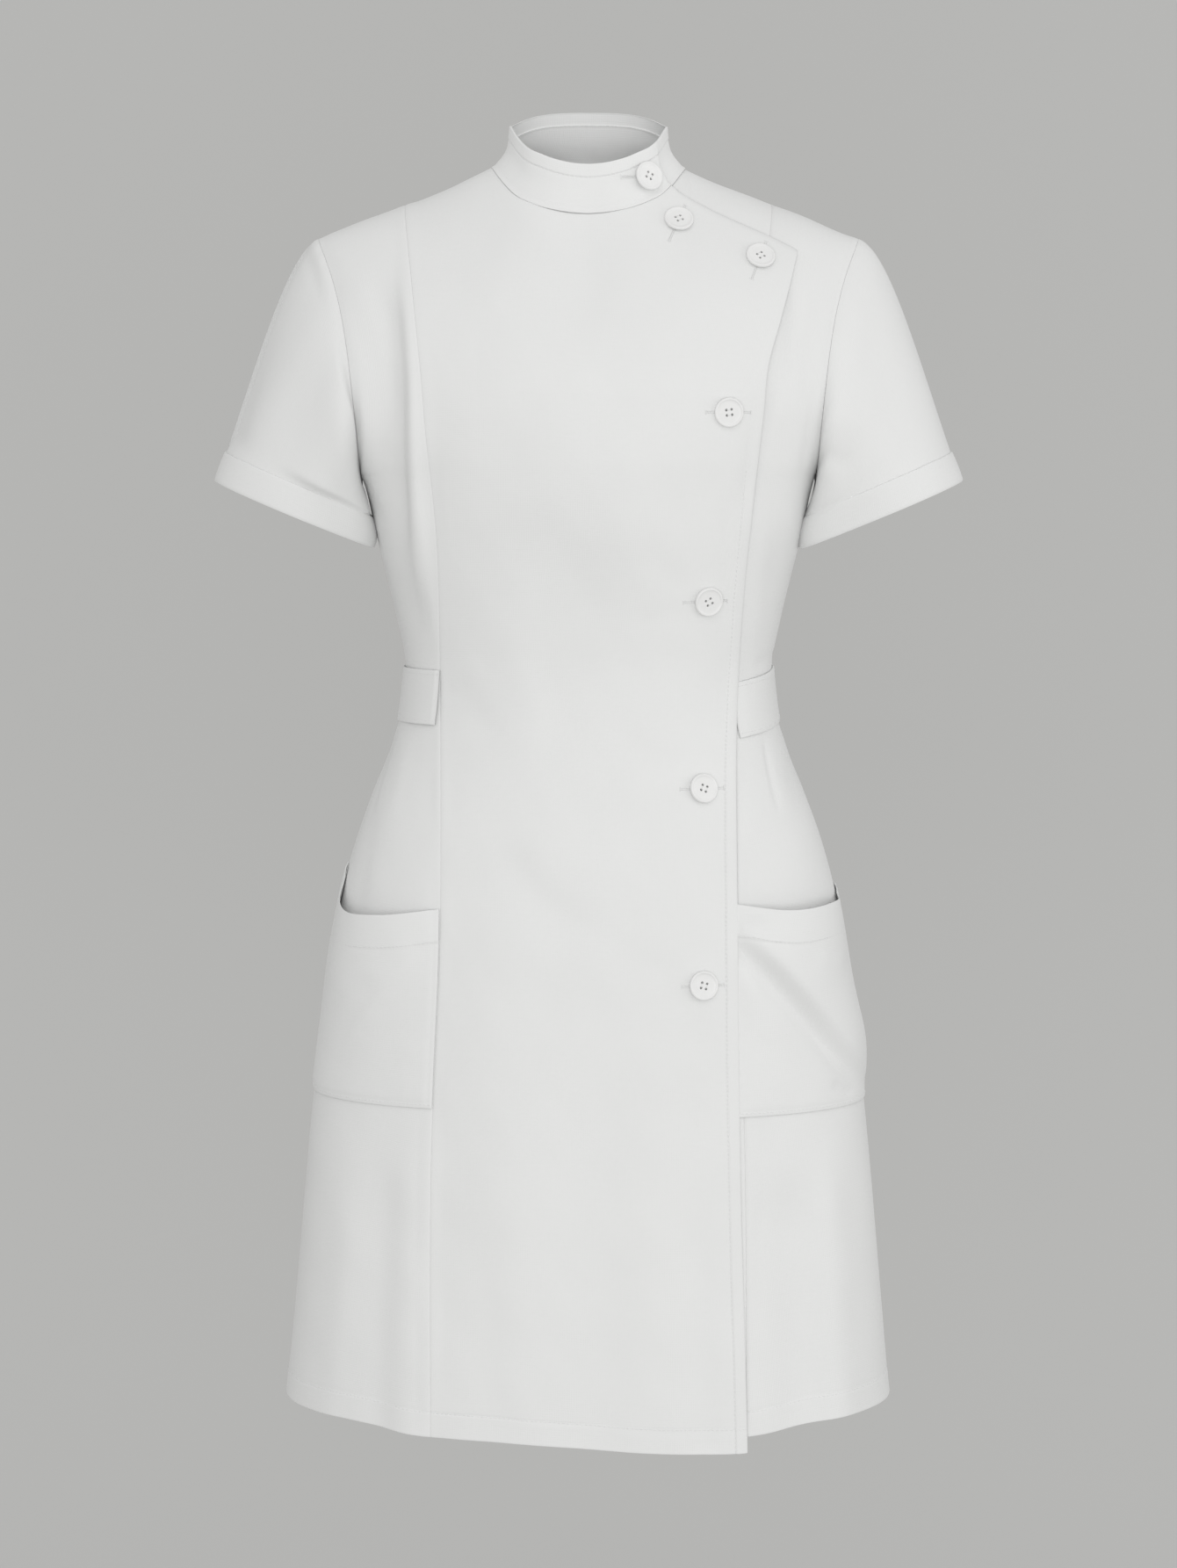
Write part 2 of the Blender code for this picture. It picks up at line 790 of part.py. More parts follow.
def section_reach(side):
    """Depth of the neck opening on one side."""
    return abs(neck_edge(side, 0.0, 0.0).y)


def build_collar():
    """Stand collar in one band, lapping over itself at the front."""
    places = collar_feet()
    outer = [[collar_point(place, row, 0.0) for place in places] for row in COLLAR_ROWS]
    inner = [[collar_point(place, row, -WALL) for place in places] for row in COLLAR_ROWS]
    return build_wall("collar", outer, inner, cloth("collar"))


def belt_places():
    """Places along the half belt: side, x share round the section, and end drop."""
    front_end = ring_angle(OVERLAP_EDGE[4].x + SEAM, BELT_MIDDLE)
    start = ring_angle(PRINCESS_SEAM[4].x, BELT_MIDDLE)
    places = [("front", -angle, 0.0) for angle in spread(start, 4, math.pi / 2)]
    places += [("back", angle, 0.0) for angle in spread(-math.pi / 2, 22, math.pi / 2)[1:]]
    for angle in spread(math.pi / 2, 4, front_end)[1:]:
        places.append(("front", angle, (math.pi / 2 - angle) / (math.pi / 2 - front_end)))
    return places


def build_belt():
    """Half belt from the right princess seam round the back to the overlap's edge."""
    end_drop = 9.0
    outer = []
    inner = []
    for level in (BELT_BOTTOM, BELT_MIDDLE, BELT_TOP):
        outer.append([])
        inner.append([])
        for side, angle, drop in belt_places():
            z = level - end_drop * drop
            point = form_point(side, ring_x(angle, z), z)
            normal = form_normal(side, point)
            outer[-1].append(point + normal * (LAP + WALL))
            inner[-1].append(point + normal * LAP)
    return build_wall("waist_belt", outer, inner, cloth("waist_belt"))


def pocket_grid(pocket):
    """Places and gape of a patch pocket that bags out towards its mouth."""
    mouth = curve(POCKET_MOUTH[pocket.name], "across", "height")
    rows = []
    for i in range(POCKET_ROWS + 1):
        up = i / POCKET_ROWS
        rows.append([])
        for j in range(POCKET_COLUMNS + 1):
            across = j / POCKET_COLUMNS
            z = mix(pocket.bottom, mouth(across), up)
            low = ring_angle(pocket.inner_x, z)
            high = math.pi / 2 - 0.02
            x = ring_x(mix(low, high, across), z)
            gape = pocket.gape * math.sin(math.pi * min(across / 0.88, 1)) ** 1.2 * up**1.6
            point = form_point("front", pocket.hand * x, z)
            crease = fold_height("front", Vector((x, 0, z)), (POCKET_FOLD,))
            rows[-1].append((point, LAP + gape + crease * gape / pocket.gape))
    return rows


def build_pocket(pocket):
    """Patch pocket that hangs a little open."""
    outer = []
    inner = []
    for row in pocket_grid(pocket):
        outer.append([])
        inner.append([])
        for point, lift in row:
            normal = form_normal("front", point)
            face = point + normal * (lift + max(fold_height("front", point), 0.0))
            outer[-1].append(face + normal * WALL)
            inner[-1].append(face)
    return build_wall(pocket.name, outer, inner, cloth(pocket.name))


def button_mesh():
    """Round button with a raised rim and four holes, standing on its back face."""
    mesh = bmesh.new()
    profile = (
        (BUTTON_RADIUS - 1.2, 0.0),
        (BUTTON_RADIUS, 1.1),
        (BUTTON_RADIUS - 0.5, BUTTON_HEIGHT - 0.4),
        (BUTTON_RADIUS - BUTTON_RIM / 2, BUTTON_HEIGHT),
        (BUTTON_RADIUS - BUTTON_RIM, BUTTON_HEIGHT - BUTTON_DISH),
    )
    rings = []
    for radius, height in profile:
        rings.append([])
        for i in range(BUTTON_SIDES):
            turn = 2 * math.pi * i / BUTTON_SIDES
            place = Vector((radius * math.cos(turn), radius * math.sin(turn), height))
            rings[-1].append(mesh.verts.new(place * MM))
    for low, high in zip(rings, rings[1:]):
        for i in range(BUTTON_SIDES):
            j = (i + 1) % BUTTON_SIDES
            mesh.faces.new((low[i], low[j], high[j], high[i]))
    mesh.faces.new(rings[0][::-1])
    mesh.faces.new(rings[-1])
    return mesh


def hole_cutter(button, name):
    """Four thread holes as one hidden cutter."""
    mesh = bmesh.new()
    for i in range(4):
        turn = math.pi / 4 + math.pi / 2 * i
        made = bmesh.ops.create_cone(
            mesh, cap_ends=True, segments=HOLE_SIDES, radius1=HOLE_RADIUS * MM,
            radius2=HOLE_RADIUS * MM, depth=4 * BUTTON_HEIGHT * MM)
        offset = Vector((math.cos(turn), math.sin(turn), 0)) * HOLE_SPACING * MM
        bmesh.ops.translate(mesh, verts=made["verts"], vec=offset)
    cutter = build_object(name + "_holes", mesh, button.data.materials[0], smooth=False)
    cutter.hide_render = True
    cutter.display_type = "WIRE"
    cutter.matrix_world = button.matrix_world
    return cutter


def build_button(name, point, normal, gap=BUTTON_GAP):
    """One button seated on the cloth at a point."""
    material = make_material(name + "_plastic", WHITE_BUTTON, 0.35)
    button = build_object(name, button_mesh(), material)
    button.rotation_mode = "QUATERNION"
    button.rotation_quaternion = normal.to_track_quat("Z", "Y")
    button.location = (point + normal * gap) * MM
    bpy.context.view_layer.update()
    cut = button.modifiers.new("thread_holes", "BOOLEAN")
    cut.operation = "DIFFERENCE"
    cut.solver = "EXACT"
    cut.object = hole_cutter(button, name)
    return button


def build_collar_button():
    """Top button, on the lapping end of the collar."""
    place = ("front", COLLAR_BUTTON_X, overlap_lift(Vector((COLLAR_BUTTON_X, 0, 0))))
    point = collar_point(place, COLLAR_BUTTON_ROW, 0.0)
    above = collar_point(place, CollarRow(0.6, 0.9), 0.0)
    beside = collar_point(("front", COLLAR_BUTTON_X + 5, place[2]), COLLAR_BUTTON_ROW, 0.0)
    normal = (beside - point).cross(above - point).normalized()
    if normal.y > 0:
        normal.negate()
    return build_button("button_1", point, normal, COLLAR_BUTTON_GAP)


def build_front_buttons():
    """Buttons down the overlap's edge."""
    for number, place in enumerate(BUTTONS, start=2):
        point = form_point("front", place.x, place.z)
        normal = form_normal("front", point)
        face = point + normal * (overlap_lift(point) + fold_height("front", point))
        build_button(f"button_{number}", face, normal)


def main():
    for thing in list(bpy.data.objects):
        bpy.data.objects.remove(thing, do_unlink=True)
    build_front_overlap()
    build_front_underlap()
    build_front_side("front_side_left", 1)
    build_front_side("front_side_right", -1)
    build_back()
    for name, hand in (("left", 1), ("right", -1)):
        build_sleeve("sleeve_" + name, hand)
        build_cuff("cuff_" + name, hand)
    build_collar()
    build_belt()
    for pocket in POCKETS:
        build_pocket(pocket)
    build_collar_button()
    build_front_buttons()


main()
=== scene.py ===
import math
from collections import namedtuple

import bmesh
import bpy
import numpy as np
from mathutils import Matrix, Vector


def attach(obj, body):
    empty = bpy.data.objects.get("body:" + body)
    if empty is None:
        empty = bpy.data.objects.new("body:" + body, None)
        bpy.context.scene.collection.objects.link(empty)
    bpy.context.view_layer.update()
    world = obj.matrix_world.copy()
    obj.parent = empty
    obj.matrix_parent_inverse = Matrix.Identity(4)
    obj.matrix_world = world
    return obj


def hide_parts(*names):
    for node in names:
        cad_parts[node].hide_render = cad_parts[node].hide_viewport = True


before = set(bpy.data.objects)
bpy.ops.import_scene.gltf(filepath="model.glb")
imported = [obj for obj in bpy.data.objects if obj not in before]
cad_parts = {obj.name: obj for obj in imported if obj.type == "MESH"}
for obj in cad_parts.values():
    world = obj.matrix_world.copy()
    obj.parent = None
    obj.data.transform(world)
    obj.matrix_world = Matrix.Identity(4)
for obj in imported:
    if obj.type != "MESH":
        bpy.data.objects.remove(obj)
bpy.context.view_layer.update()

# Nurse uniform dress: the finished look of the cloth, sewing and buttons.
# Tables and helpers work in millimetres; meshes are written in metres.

MM = 0.001

# Cloth and seams
WALL = 1.5
CLOTH = 0.55
SEAM = 0.3
SEAM_GAP = 0.06
SEAM_DEPTH = {"seam": 0.5, "soft": 0.25}
LAP = 1.0
SEAM_ALLOWANCE = 7.0
OVERLAP_LIFT = LAP + WALL

# Main places
HEM = -893.0
HEM_BLEND = 58.0
SIDE_HEM_RISE = 6.5
OVERLAP_HEM_DROP = 11.0
UNDERARM = -222.0
NECK_HALF_WIDTH = 69.0
SHOULDER_HALF_WIDTH = 193.0
PRINCESS_TOP = 131.0
UNDERLAP_EDGE = 25.0
OVERLAP_NECK_END = 58.0
OVERLAP_SHOULDER_END = 147.0

# Squareness of the horizontal sections: 2 is an ellipse
ROUNDNESS = 2.3

# Front faces -Y and back faces +Y
FRONT = -1.0
BACK = 1.0


def table(row_type, rows):
    """Rows of numbers with their column names."""
    return tuple(row_type(*row) for row in rows)


Section = namedtuple("Section", "height half_width front back")
SECTIONS = table(Section, (
    (-930, 223.5, 143, 145),
    (-893, 220, 141, 143),
    (-770, 209, 134, 140),
    (-673, 200, 127, 138),
    (-609, 192, 122, 136),
    (-545, 183, 117, 132),
    (-497, 172, 111, 124),
    (-449, 155.5, 104, 110),
    (-417, 142.5, 99, 98),
    (-385, 133.5, 96, 88),
    (-354, 132, 97, 86),
    (-322, 138.5, 102, 90),
    (-290, 146, 108, 97),
    (-255, 154.5, 115, 101),
    (-222, 162, 119, 104),
    (-190, 176, 121, 106),
    (-155, 192, 118, 107),
    (-120, 199, 112, 104),
    (-80, 202, 106, 98),
    (-40, 204, 100, 92),
    (40, 204, 95, 88),
))
Ridge = namedtuple("Ridge", "x height front_fullness back_fullness")
RIDGE = table(Ridge, (
    (-10, 24, 1.3, 2.8),
    (0, 24, 1.3, 2.8),
    (30, 17, 1.4, 2.6),
    (69, -3, 1.55, 2.4),
    (102, -18, 1.65, 2.3),
    (142, -33, 1.8, 2.2),
    (193, -53, 2.0, 2.1),
    (215, -61, 2.0, 2.1),
))
RIDGE_START = {FRONT: -165.0, BACK: -135.0}
NeckSeam = namedtuple("NeckSeam", "x front back")
NECK_SEAM = table(NeckSeam, (
    (-10, -39, 0),
    (0, -39, 0),
    (20, -37, -0.3),
    (40, -31, -1),
    (54, -22.5, -2),
    (63, -11.5, -2.8),
    (69, -3, -3),
))
SeamLine = namedtuple("SeamLine", "height x")
PRINCESS_SEAM = table(SeamLine, (
    (-930, 110.5), (-893, 110.5), (-665, 109), (-557, 104.5), (-362, 105),
    (-265, 106), (-188, 113), (-141, 117.5), (-93, 123), (-30, 131),
))
OVERLAP_EDGE = table(SeamLine, (
    (-930, 111.5), (-902, 111), (-716, 106), (-551, 104), (-362, 104.5),
    (-289, 109), (-213, 117), (-177, 121), (-147, 124), (-112, 134),
    (-91, 140), (-64, 147),
))
OVERLAP_SHOULDER = table(SeamLine, (
    (-19, 58), (-38, 91), (-54, 127), (-64, 147),
))
ARMHOLE = {
    FRONT: table(SeamLine, (
        (-222, 162), (-195, 163), (-162, 166), (-130, 170), (-100, 176), (-80, 182), (-53, 193),
    )),
    BACK: table(SeamLine, (
        (-222, 162), (-195, 168), (-162, 173), (-130, 177), (-100, 181), (-80, 185), (-53, 193),
    )),
}
BELT_BOTTOM = -397.0
BELT_TOP = -358.0
BELT_MIDDLE = (BELT_BOTTOM + BELT_TOP) / 2
BELT_END_DROP = 9.0

# How far a piece reaches under the overlap's edge
TUCK = 2.8

# How far the cloth fills out at the front beside the armhole seam
ARMHOLE_FILL = {1: 11.0, -1: 8.0}
ARMHOLE_FILL_REACH = 15.0
ARMHOLE_FILL_HEIGHT = -204.0
ARMHOLE_FILL_SPAN = 34.0

# Folds in the cloth, from one place to another as seen from the front or
# back. A ridge has a positive height. The line bows sideways at its middle,
# and its two sides may be of different widths.
Fold = namedtuple("Fold", "x1 z1 x2 z2 bow near far height")
FOLDS = {
    FRONT: table(Fold, (
        (-145, -75, -141, -200, 0, 11, 11, -5),
        (-124, -150, -119, -330, 0, 10, 10, 3.5),
        (-124, -640, -128, -893, 0, 14, 14, 4.5),
        (-142, -690, -150, -893, 0, 13, 13, -5.5),
        (140, -700, 150, -893, 0, 16, 16, -4),
        (168, -680, 176, -893, 0, 16, 16, 4),
        (-60, -480, -68, -893, 0, 30, 30, 2.5),
        (10, -500, 4, -893, 0, 34, 34, -3),
        (143, -130, 132, -300, 0, 14, 14, 2.5),
    )),
    BACK: table(Fold, (
        (-70, -430, -96, -893, 0, 24, 24, 5),
        (64, -430, 92, -893, 0, 24, 24, 5),
        (-20, -470, -30, -893, 0, 26, 26, -5),
        (28, -520, 40, -893, 0, 24, 24, -4),
        (-120, -110, -104, -240, 0, 16, 16, -4),
        (122, -104, 106, -250, 0, 16, 16, -4),
    )),
}

# Smaller creases of the outer cloth
CREASES = {
    FRONT: table(Fold, (
        # Side front on the wearer's right
        (-141, -58, -131, -290, -4, 6.5, 17, -4.2),
        (-127, -66, -115, -320, -2, 5, 7, 3.4),
        (-164, -118, -156, -262, 1, 12, 9, 1.8),
        (-132, -205, -122, -352, -2, 6, 12, -2.0),
        (-112, -240, -108, -350, 0, 3, 4, 0.8),
        (-159, -215, -146, -258, 2, 4, 6, -1.2),
        (-136, -404, -157, -468, 1, 1.1, 2.6, -1.1),
        (-126, -402, -140, -470, 2, 6, 8, 0.9),
        (-148, -430, -166, -560, 3, 6, 9, -1.0),
        (-142, -690, -150, -893, 0, 13, 13, 2.9),
        (-124, -640, -128, -893, 0, 14, 14, -2.0),
        (-168, -700, -184, -893, -2, 9, 12, 1.5),
        # Side front on the wearer's left
        (142, -72, 136, -170, 3, 6, 10, -2.0),
        (130, -140, 110, -262, 2, 6, 10, -2.4),
        (158, -130, 136, -300, 4, 6, 9, 1.8),
        (150, -196, 128, -312, 3, 7, 9, -0.9),
        (124, -238, 118, -350, 0, 5, 7, 0.8),
        (123, -402, 136, -464, 1.2, 2.6, 1.1, -1.2),
        (132, -404, 146, -470, 2, 6, 8, 0.8),
        (140, -348, 116, -357, 1, 3, 4, -0.8),
        (158, -690, 164, -893, 2, 7, 10, -1.5),
        (122, -672, 124, -760, 0, 5, 7, -0.8),
        # Overlap: bust, waist, button drags and the skirt
        (97, -225, 93, -350, 1, 4, 7, -0.9),
        (93, -250, 90, -335, 0, 3, 4, 0.35),
        (60, -172, 86, -176, 1, 3, 4, -0.35),
        (36, -262, 74, -304, 4, 8, 10, -0.7),
        (28, -330, 72, -312, -3, 8, 10, -0.6),
        (20, -392, 70, -432, 5, 9, 12, -0.8),
        (24, -500, 70, -445, -6, 10, 12, -0.7),
        (10, -540, 72, -571, 6, 10, 14, -0.9),
        (76, -586, 58, -700, -4, 10, 16, -0.8),
        (-100, -352, -60, -410, 4, 10, 14, -0.9),
        (-100, -372, -72, -350, -2, 6, 8, 0.5),
        (-66, -470, 8, -548, 8, 16, 22, -2.6),
        (-40, -230, 16, -340, 6, 26, 28, -2.6),
        (-62, -300, -40, -440, -6, 16, 22, 1.8),
        (24, -180, 44, -330, 4, 20, 22, 1.6),
        (-98, -190, -62, -232, 4, 12, 14, 0.6),
        (76, -710, 82, -893, 2, 12, 16, -2.4),
        (-68, -730, -66, -893, 3, 14, 16, -1.6),
        (40, -690, 30, -893, -3, 20, 22, 1.2),
        (70, -48, 76, -58, 0, 1.6, 2.4, -0.5),
        (86, -40, 92, -54, 0, 1.5, 2.5, -0.55),
        (96, -42, 99, -56, 0, 1.5, 2.2, 0.35),
        (78, -36, 82, -50, 0, 1.6, 2.2, -0.35),
        # Underlap by the collar
        (72, -12, 76, -32, 0, 1.8, 2.6, -0.5),
        (84, -16, 92, -32, 0, 2.5, 3.5, -0.4),
    )),
    BACK: table(Fold, (
        # Back, finished like the front
        (-150, -140, -132, -330, 3, 7, 10, -1.8),
        (148, -146, 130, -326, -3, 7, 11, -1.8),
        (-124, -210, -112, -352, 2, 9, 12, 1.6),
        (120, -220, 110, -352, -2, 9, 12, 1.4),
        (-60, -296, 34, -332, -7, 12, 15, -1.6),
        (74, -318, -10, -346, 5, 8, 11, -1.1),
        (-92, -332, -30, -352, 4, 7, 9, 0.8),
        (-50, -404, -78, -520, -4, 9, 13, -1.3),
        (44, -404, 66, -510, 4, 9, 13, -1.2),
        (8, -402, 4, -470, 0, 7, 9, 0.8),
        (118, -420, 148, -600, 6, 14, 18, -1.6),
        (-116, -424, -150, -610, -6, 14, 18, -1.6),
        (-128, -640, -146, -893, -3, 14, 20, -3.0),
        (132, -650, 148, -893, 3, 14, 19, -2.6),
        (-62, -60, -112, -140, 5, 9, 12, -1.2),
        (58, -62, 108, -146, -5, 9, 12, -1.1),
    )),
}
BUTTON_DIMPLE = 0.7

# Slow waves in the cloth: amplitude, wave vector and phase
Wave = namedtuple("Wave", "amplitude across up phase")
WAVES = table(Wave, (
    (0.30, 0.061, 0.019, 0.3),
    (0.24, -0.043, 0.047, 1.9),
    (0.20, 0.094, -0.028, 4.2),
    (0.14, 0.022, 0.103, 2.6),
    (0.10, -0.127, 0.071, 5.1),
    (0.06, 0.201, 0.112, 0.9),
))

# Sleeve hem ring and the sleeve's run
SLEEVE_HEM_CENTRE = (214.0, 2.0, -248.0)
SLEEVE_HEM_RADIUS = 58.5
SLEEVE_ANGLE = math.radians(22.6)
CUFF_WIDTH = 22.0
SLEEVE_SEAM_STEP = 0.06

# How much lower each sleeve hangs beside the body, round the sleeve in radians
SLEEVE_HANG = {1: 12.0, -1: 9.0}
SLEEVE_HANG_TURN = 2.7
SLEEVE_HANG_REACH = 0.5

# Sleeve folds: turn in degrees, from 0 on the outer side through 90 at the
# front to 180 under the arm, and share of the way from armhole to cuff
SleeveFold = namedtuple("SleeveFold", "hand turn1 share1 turn2 share2 reach height")
SLEEVE_FOLDS = table(SleeveFold, (
    (-1, 18, 0.04, 16, 1.00, 26, -4.5),
    (-1, 104, 0.03, 106, 0.98, 24, 6.0),
    (-1, 168, 0.30, 150, 1.00, 9, 1.2),
    (-1, 20, 0.10, 28, 0.80, 14, 0.8),
    (-1, 214, 0.05, 250, 0.80, 9, -1.5),
    (-1, 286, 0.10, 300, 0.95, 13, -1.2),
    (1, 148, 0.05, 112, 0.70, 8, -1.3),
    (1, 126, 0.02, 92, 0.60, 10, 1.1),
    (1, 54, 0.25, 66, 1.00, 14, -0.9),
    (1, 24, 0.10, 20, 0.80, 14, 0.8),
    (1, 218, 0.05, 246, 0.85, 9, -1.5),
    (1, 292, 0.10, 286, 0.95, 13, -1.1),
))

# Collar
COLLAR_TOP_SCALE = 0.815
COLLAR_RISE = {FRONT: 34.5, "side": 29.5, BACK: 40.5}
COLLAR_SWEEP = {FRONT: 2.5, BACK: 1.0}
COLLAR_DEPTH_SCALE = 0.93
CollarRow = namedtuple("CollarRow", "rise lean")
COLLAR_ROWS = table(CollarRow, (
    (0.0, 0.0), (0.18, 0.42), (0.38, 0.75), (0.66, 0.93), (1.0, 1.0),
))
COLLAR_LAP = 1.3
COLLAR_STITCH = 9.0

# Height of the collar's foot above the panels' neck edges
NECK_STEP = 0.25

# Pockets
Pocket = namedtuple("Pocket", "name hand inner_x bottom gape")
POCKETS = table(Pocket, (
    ("pocket_left", 1, 107, -669, 12),
    ("pocket_right", -1, 108, -663, 11),
))
MouthPoint = namedtuple("MouthPoint", "across height")
POCKET_MOUTH = {
    "pocket_left": table(MouthPoint, (
        (0, -520), (0.25, -527), (0.6, -525), (0.85, -522), (1, -515),
    )),
    "pocket_right": table(MouthPoint, (
        (0, -524), (0.3, -531), (0.6, -530), (0.8, -519), (1, -500),
    )),
}
POCKET_FOLD = Fold(106, -549, 190, -660, 0, 10, 10, -3.5)
POCKET_CREASES = {
    "pocket_left": table(Fold, (
        (86, -530, 206, -676, -4, 5, 8, -4.6),
        (94, -522, 210, -668, -4, 22, 6.5, 6.4),
        (105, -531, 126, -541, 0, 2.5, 3, -2.2),
        (106, -560, 132, -620, 3, 8, 12, 1.2),
        (150, -560, 182, -566, 2, 8, 10, 0.8),
        (170, -650, 190, -663, 0, 2.5, 4, -1.6),
        (122, -600, 138, -664, -3, 10, 14, 1.0),
    )),
    "pocket_right": table(Fold, (
        (112, -552, 176, -640, -4, 6, 12, 1.8),
        (118, -544, 158, -580, 3, 6, 9, 0.8),
        (150, -600, 186, -650, 3, 7, 9, -0.8),
        (124, -610, 130, -660, 0, 9, 12, 0.7),
    )),
}
POCKET_MOUTH_HEM = 23.0

# Buttons by their place on the front, with the turn of the four holes and a
# small tilt, then the buttonhole's direction and its two ends
Button = namedtuple("Button", "name x z turn tilt_across tilt_up hole_angle hole_start hole_end")
BUTTONS = table(Button, (
    ("button_1", 47, -14, 62, -2, 2, 180, -12, 20),
    ("button_2", 63, -43.5, 22, -3, 2, 246, -12, 17),
    ("button_3", 120, -69.5, 28, -2, 1, 248, -12, 17),
    ("button_4", 96, -177, 8, -6, -4, 180, -16, 15.5),
    ("button_5", 82.5, -308, 28, -3, -2, 182, -13.5, 17),
    ("button_6", 79.5, -440, 68, 3, -2, 180, -14.5, 16),
    ("button_7", 79.5, -576, 76, 2, -1, 181, -14.5, 15),
))
BUTTON_GAP = 0.7
COLLAR_BUTTON_GAP = 1.8
COLLAR_BUTTON_X = 47.0
COLLAR_BUTTON_RISE = 0.43
HOLE_RADIUS = 0.85
HOLE_SPACING = 2.6

# Sewing
STITCH_LENGTH = 2.5
STITCH_STEP = 3.2
THREAD_RADIUS = 0.2
OVERLAP_FACING = 8.5
FACING_TOP = -195.0
HEM_DEPTH = 17.0

# Camera and stage, in metres
CAMERA_PLACE = (0.0, -3.0, -0.195)
CAMERA_TILT = math.radians(4.745)
CAMERA_LENS = 95.61
STAGE_FLOOR = -1.45
STAGE_BACK = 1.9
STAGE_REACH = 4.0
STAGE_BEND = 0.9
STAGE_TOP = 3.2


def curve(rows, key, value):
    """Smooth function through a table's rows, straight beyond its ends."""
    pairs = sorted((getattr(row, key), getattr(row, value)) for row in rows)
    keys = np.array([pair[0] for pair in pairs], float)
    values = np.array([pair[1] for pair in pairs], float)
    steps = np.diff(keys)
    rates = np.diff(values) / steps
    slopes = np.concatenate((rates[:1], rates))
    spans = steps[:-1] + steps[1:]
    slopes[1:-1] = (rates[:-1] * steps[1:] + rates[1:] * steps[:-1]) / spans

    def at(where):
        where = np.asarray(where, float)
        i = np.clip(np.searchsorted(keys, where) - 1, 0, len(steps) - 1)
        t = np.clip((where - keys[i]) / steps[i], 0, 1)
        start = (2 * t**3 - 3 * t**2 + 1) * values[i] + (t**3 - 2 * t**2 + t) * steps[i] * slopes[i]
        end = (3 * t**2 - 2 * t**3) * values[i + 1] + (t**3 - t**2) * steps[i] * slopes[i + 1]
        below = np.minimum(where - keys[0], 0) * slopes[0]
        above = np.maximum(where - keys[-1], 0) * slopes[-1]
        return start + end + below + above

    return at


half_width = curve(SECTIONS, "height", "half_width")
section_depth = {FRONT: curve(SECTIONS, "height", "front"), BACK: curve(SECTIONS, "height", "back")}
ridge_height = curve(RIDGE, "x", "height")
fullness = {FRONT: curve(RIDGE, "x", "front_fullness"), BACK: curve(RIDGE, "x", "back_fullness")}
neck_height = {FRONT: curve(NECK_SEAM, "x", "front"), BACK: curve(NECK_SEAM, "x", "back")}
princess_x = curve(PRINCESS_SEAM, "height", "x")
overlap_x = curve(OVERLAP_EDGE, "height", "x")
overlap_shoulder = curve(OVERLAP_SHOULDER, "x", "height")
armhole_x = {side: curve(ARMHOLE[side], "height", "x") for side in (FRONT, BACK)}
collar_lean = curve(COLLAR_ROWS, "rise", "lean")


def ease(t):
    """Smooth step from 0 to 1."""
    t = np.clip(t, 0.0, 1.0)
    return t * t * (3 - 2 * t)


def mix(a, b, t):
    return a + (b - a) * t


def by_side(facing, pair, *args):
    """Front or back function, chosen for each point."""
    return np.where(np.asarray(facing) < 0, pair[FRONT](*args), pair[BACK](*args))


def bell(distance, reach):
    """Bell curve, 1 at its middle."""
    return np.exp(-((distance / reach) ** 2))


def ridge_start(facing):
    """Height where the rounded shoulder starts."""
    return np.where(np.asarray(facing) < 0, RIDGE_START[FRONT], RIDGE_START[BACK])


def unit(vectors):
    length = np.linalg.norm(vectors, axis=-1, keepdims=True)
    return vectors / np.maximum(length, 1e-9)


def form_points(facing, x, z):
    """Points of the filled-out form at places seen from the front."""
    x, z = np.broadcast_arrays(np.asarray(x, float), np.asarray(z, float))
    share = np.minimum(np.abs(x) / half_width(z), 1.0)
    depth = by_side(facing, section_depth, z) * (1 - share**ROUNDNESS) ** (1 / ROUNDNESS)
    start = ridge_start(facing)
    full = by_side(facing, fullness, np.abs(x))
    rise = np.clip((z - start) / (ridge_height(np.abs(x)) - start), 0, 1)
    depth = depth * (1 - rise**full) ** (1 / full)
    return np.stack(np.broadcast_arrays(x, facing * depth, z), -1)


def form_level(facing, points):
    """Zero on the form, positive outside it."""
    x, y, z = points[..., 0], points[..., 1], points[..., 2]
    share = np.abs(x) / half_width(z)
    reach = np.abs(y) / by_side(facing, section_depth, z)
    start = ridge_start(facing)
    full = by_side(facing, fullness, np.abs(x))
    rise = np.maximum(z - start, 0) / (ridge_height(np.abs(x)) - start)
    narrow = np.maximum(1 - share**ROUNDNESS, 1e-6) ** (1 / ROUNDNESS)
    low = share**ROUNDNESS + reach**ROUNDNESS - 1
    high = (reach / narrow) ** full + rise**full - 1
    return np.where(z <= start, low, high)


def form_normals(facing, points):
    """Outward directions of the form."""
    x, y, z = points[..., 0], points[..., 1], points[..., 2]
    start = ridge_start(facing)
    evened = (np.abs(z - start) < 80) & (np.abs(y) > 12)
    depth = form_points(facing, x, z)[..., 1]
    points = np.stack((x, np.where(evened, depth, y), z), -1)
    slopes = []
    for axis in np.eye(3):
        ahead = form_level(facing, points + 0.05 * axis)
        behind = form_level(facing, points - 0.05 * axis)
        slopes.append(ahead - behind)
    normals = np.stack(slopes, -1)
    on_seam = np.abs(points[..., 1]) < SEAM
    normals[..., 1] = np.where(on_seam, 0.0, normals[..., 1])
    return unit(normals)


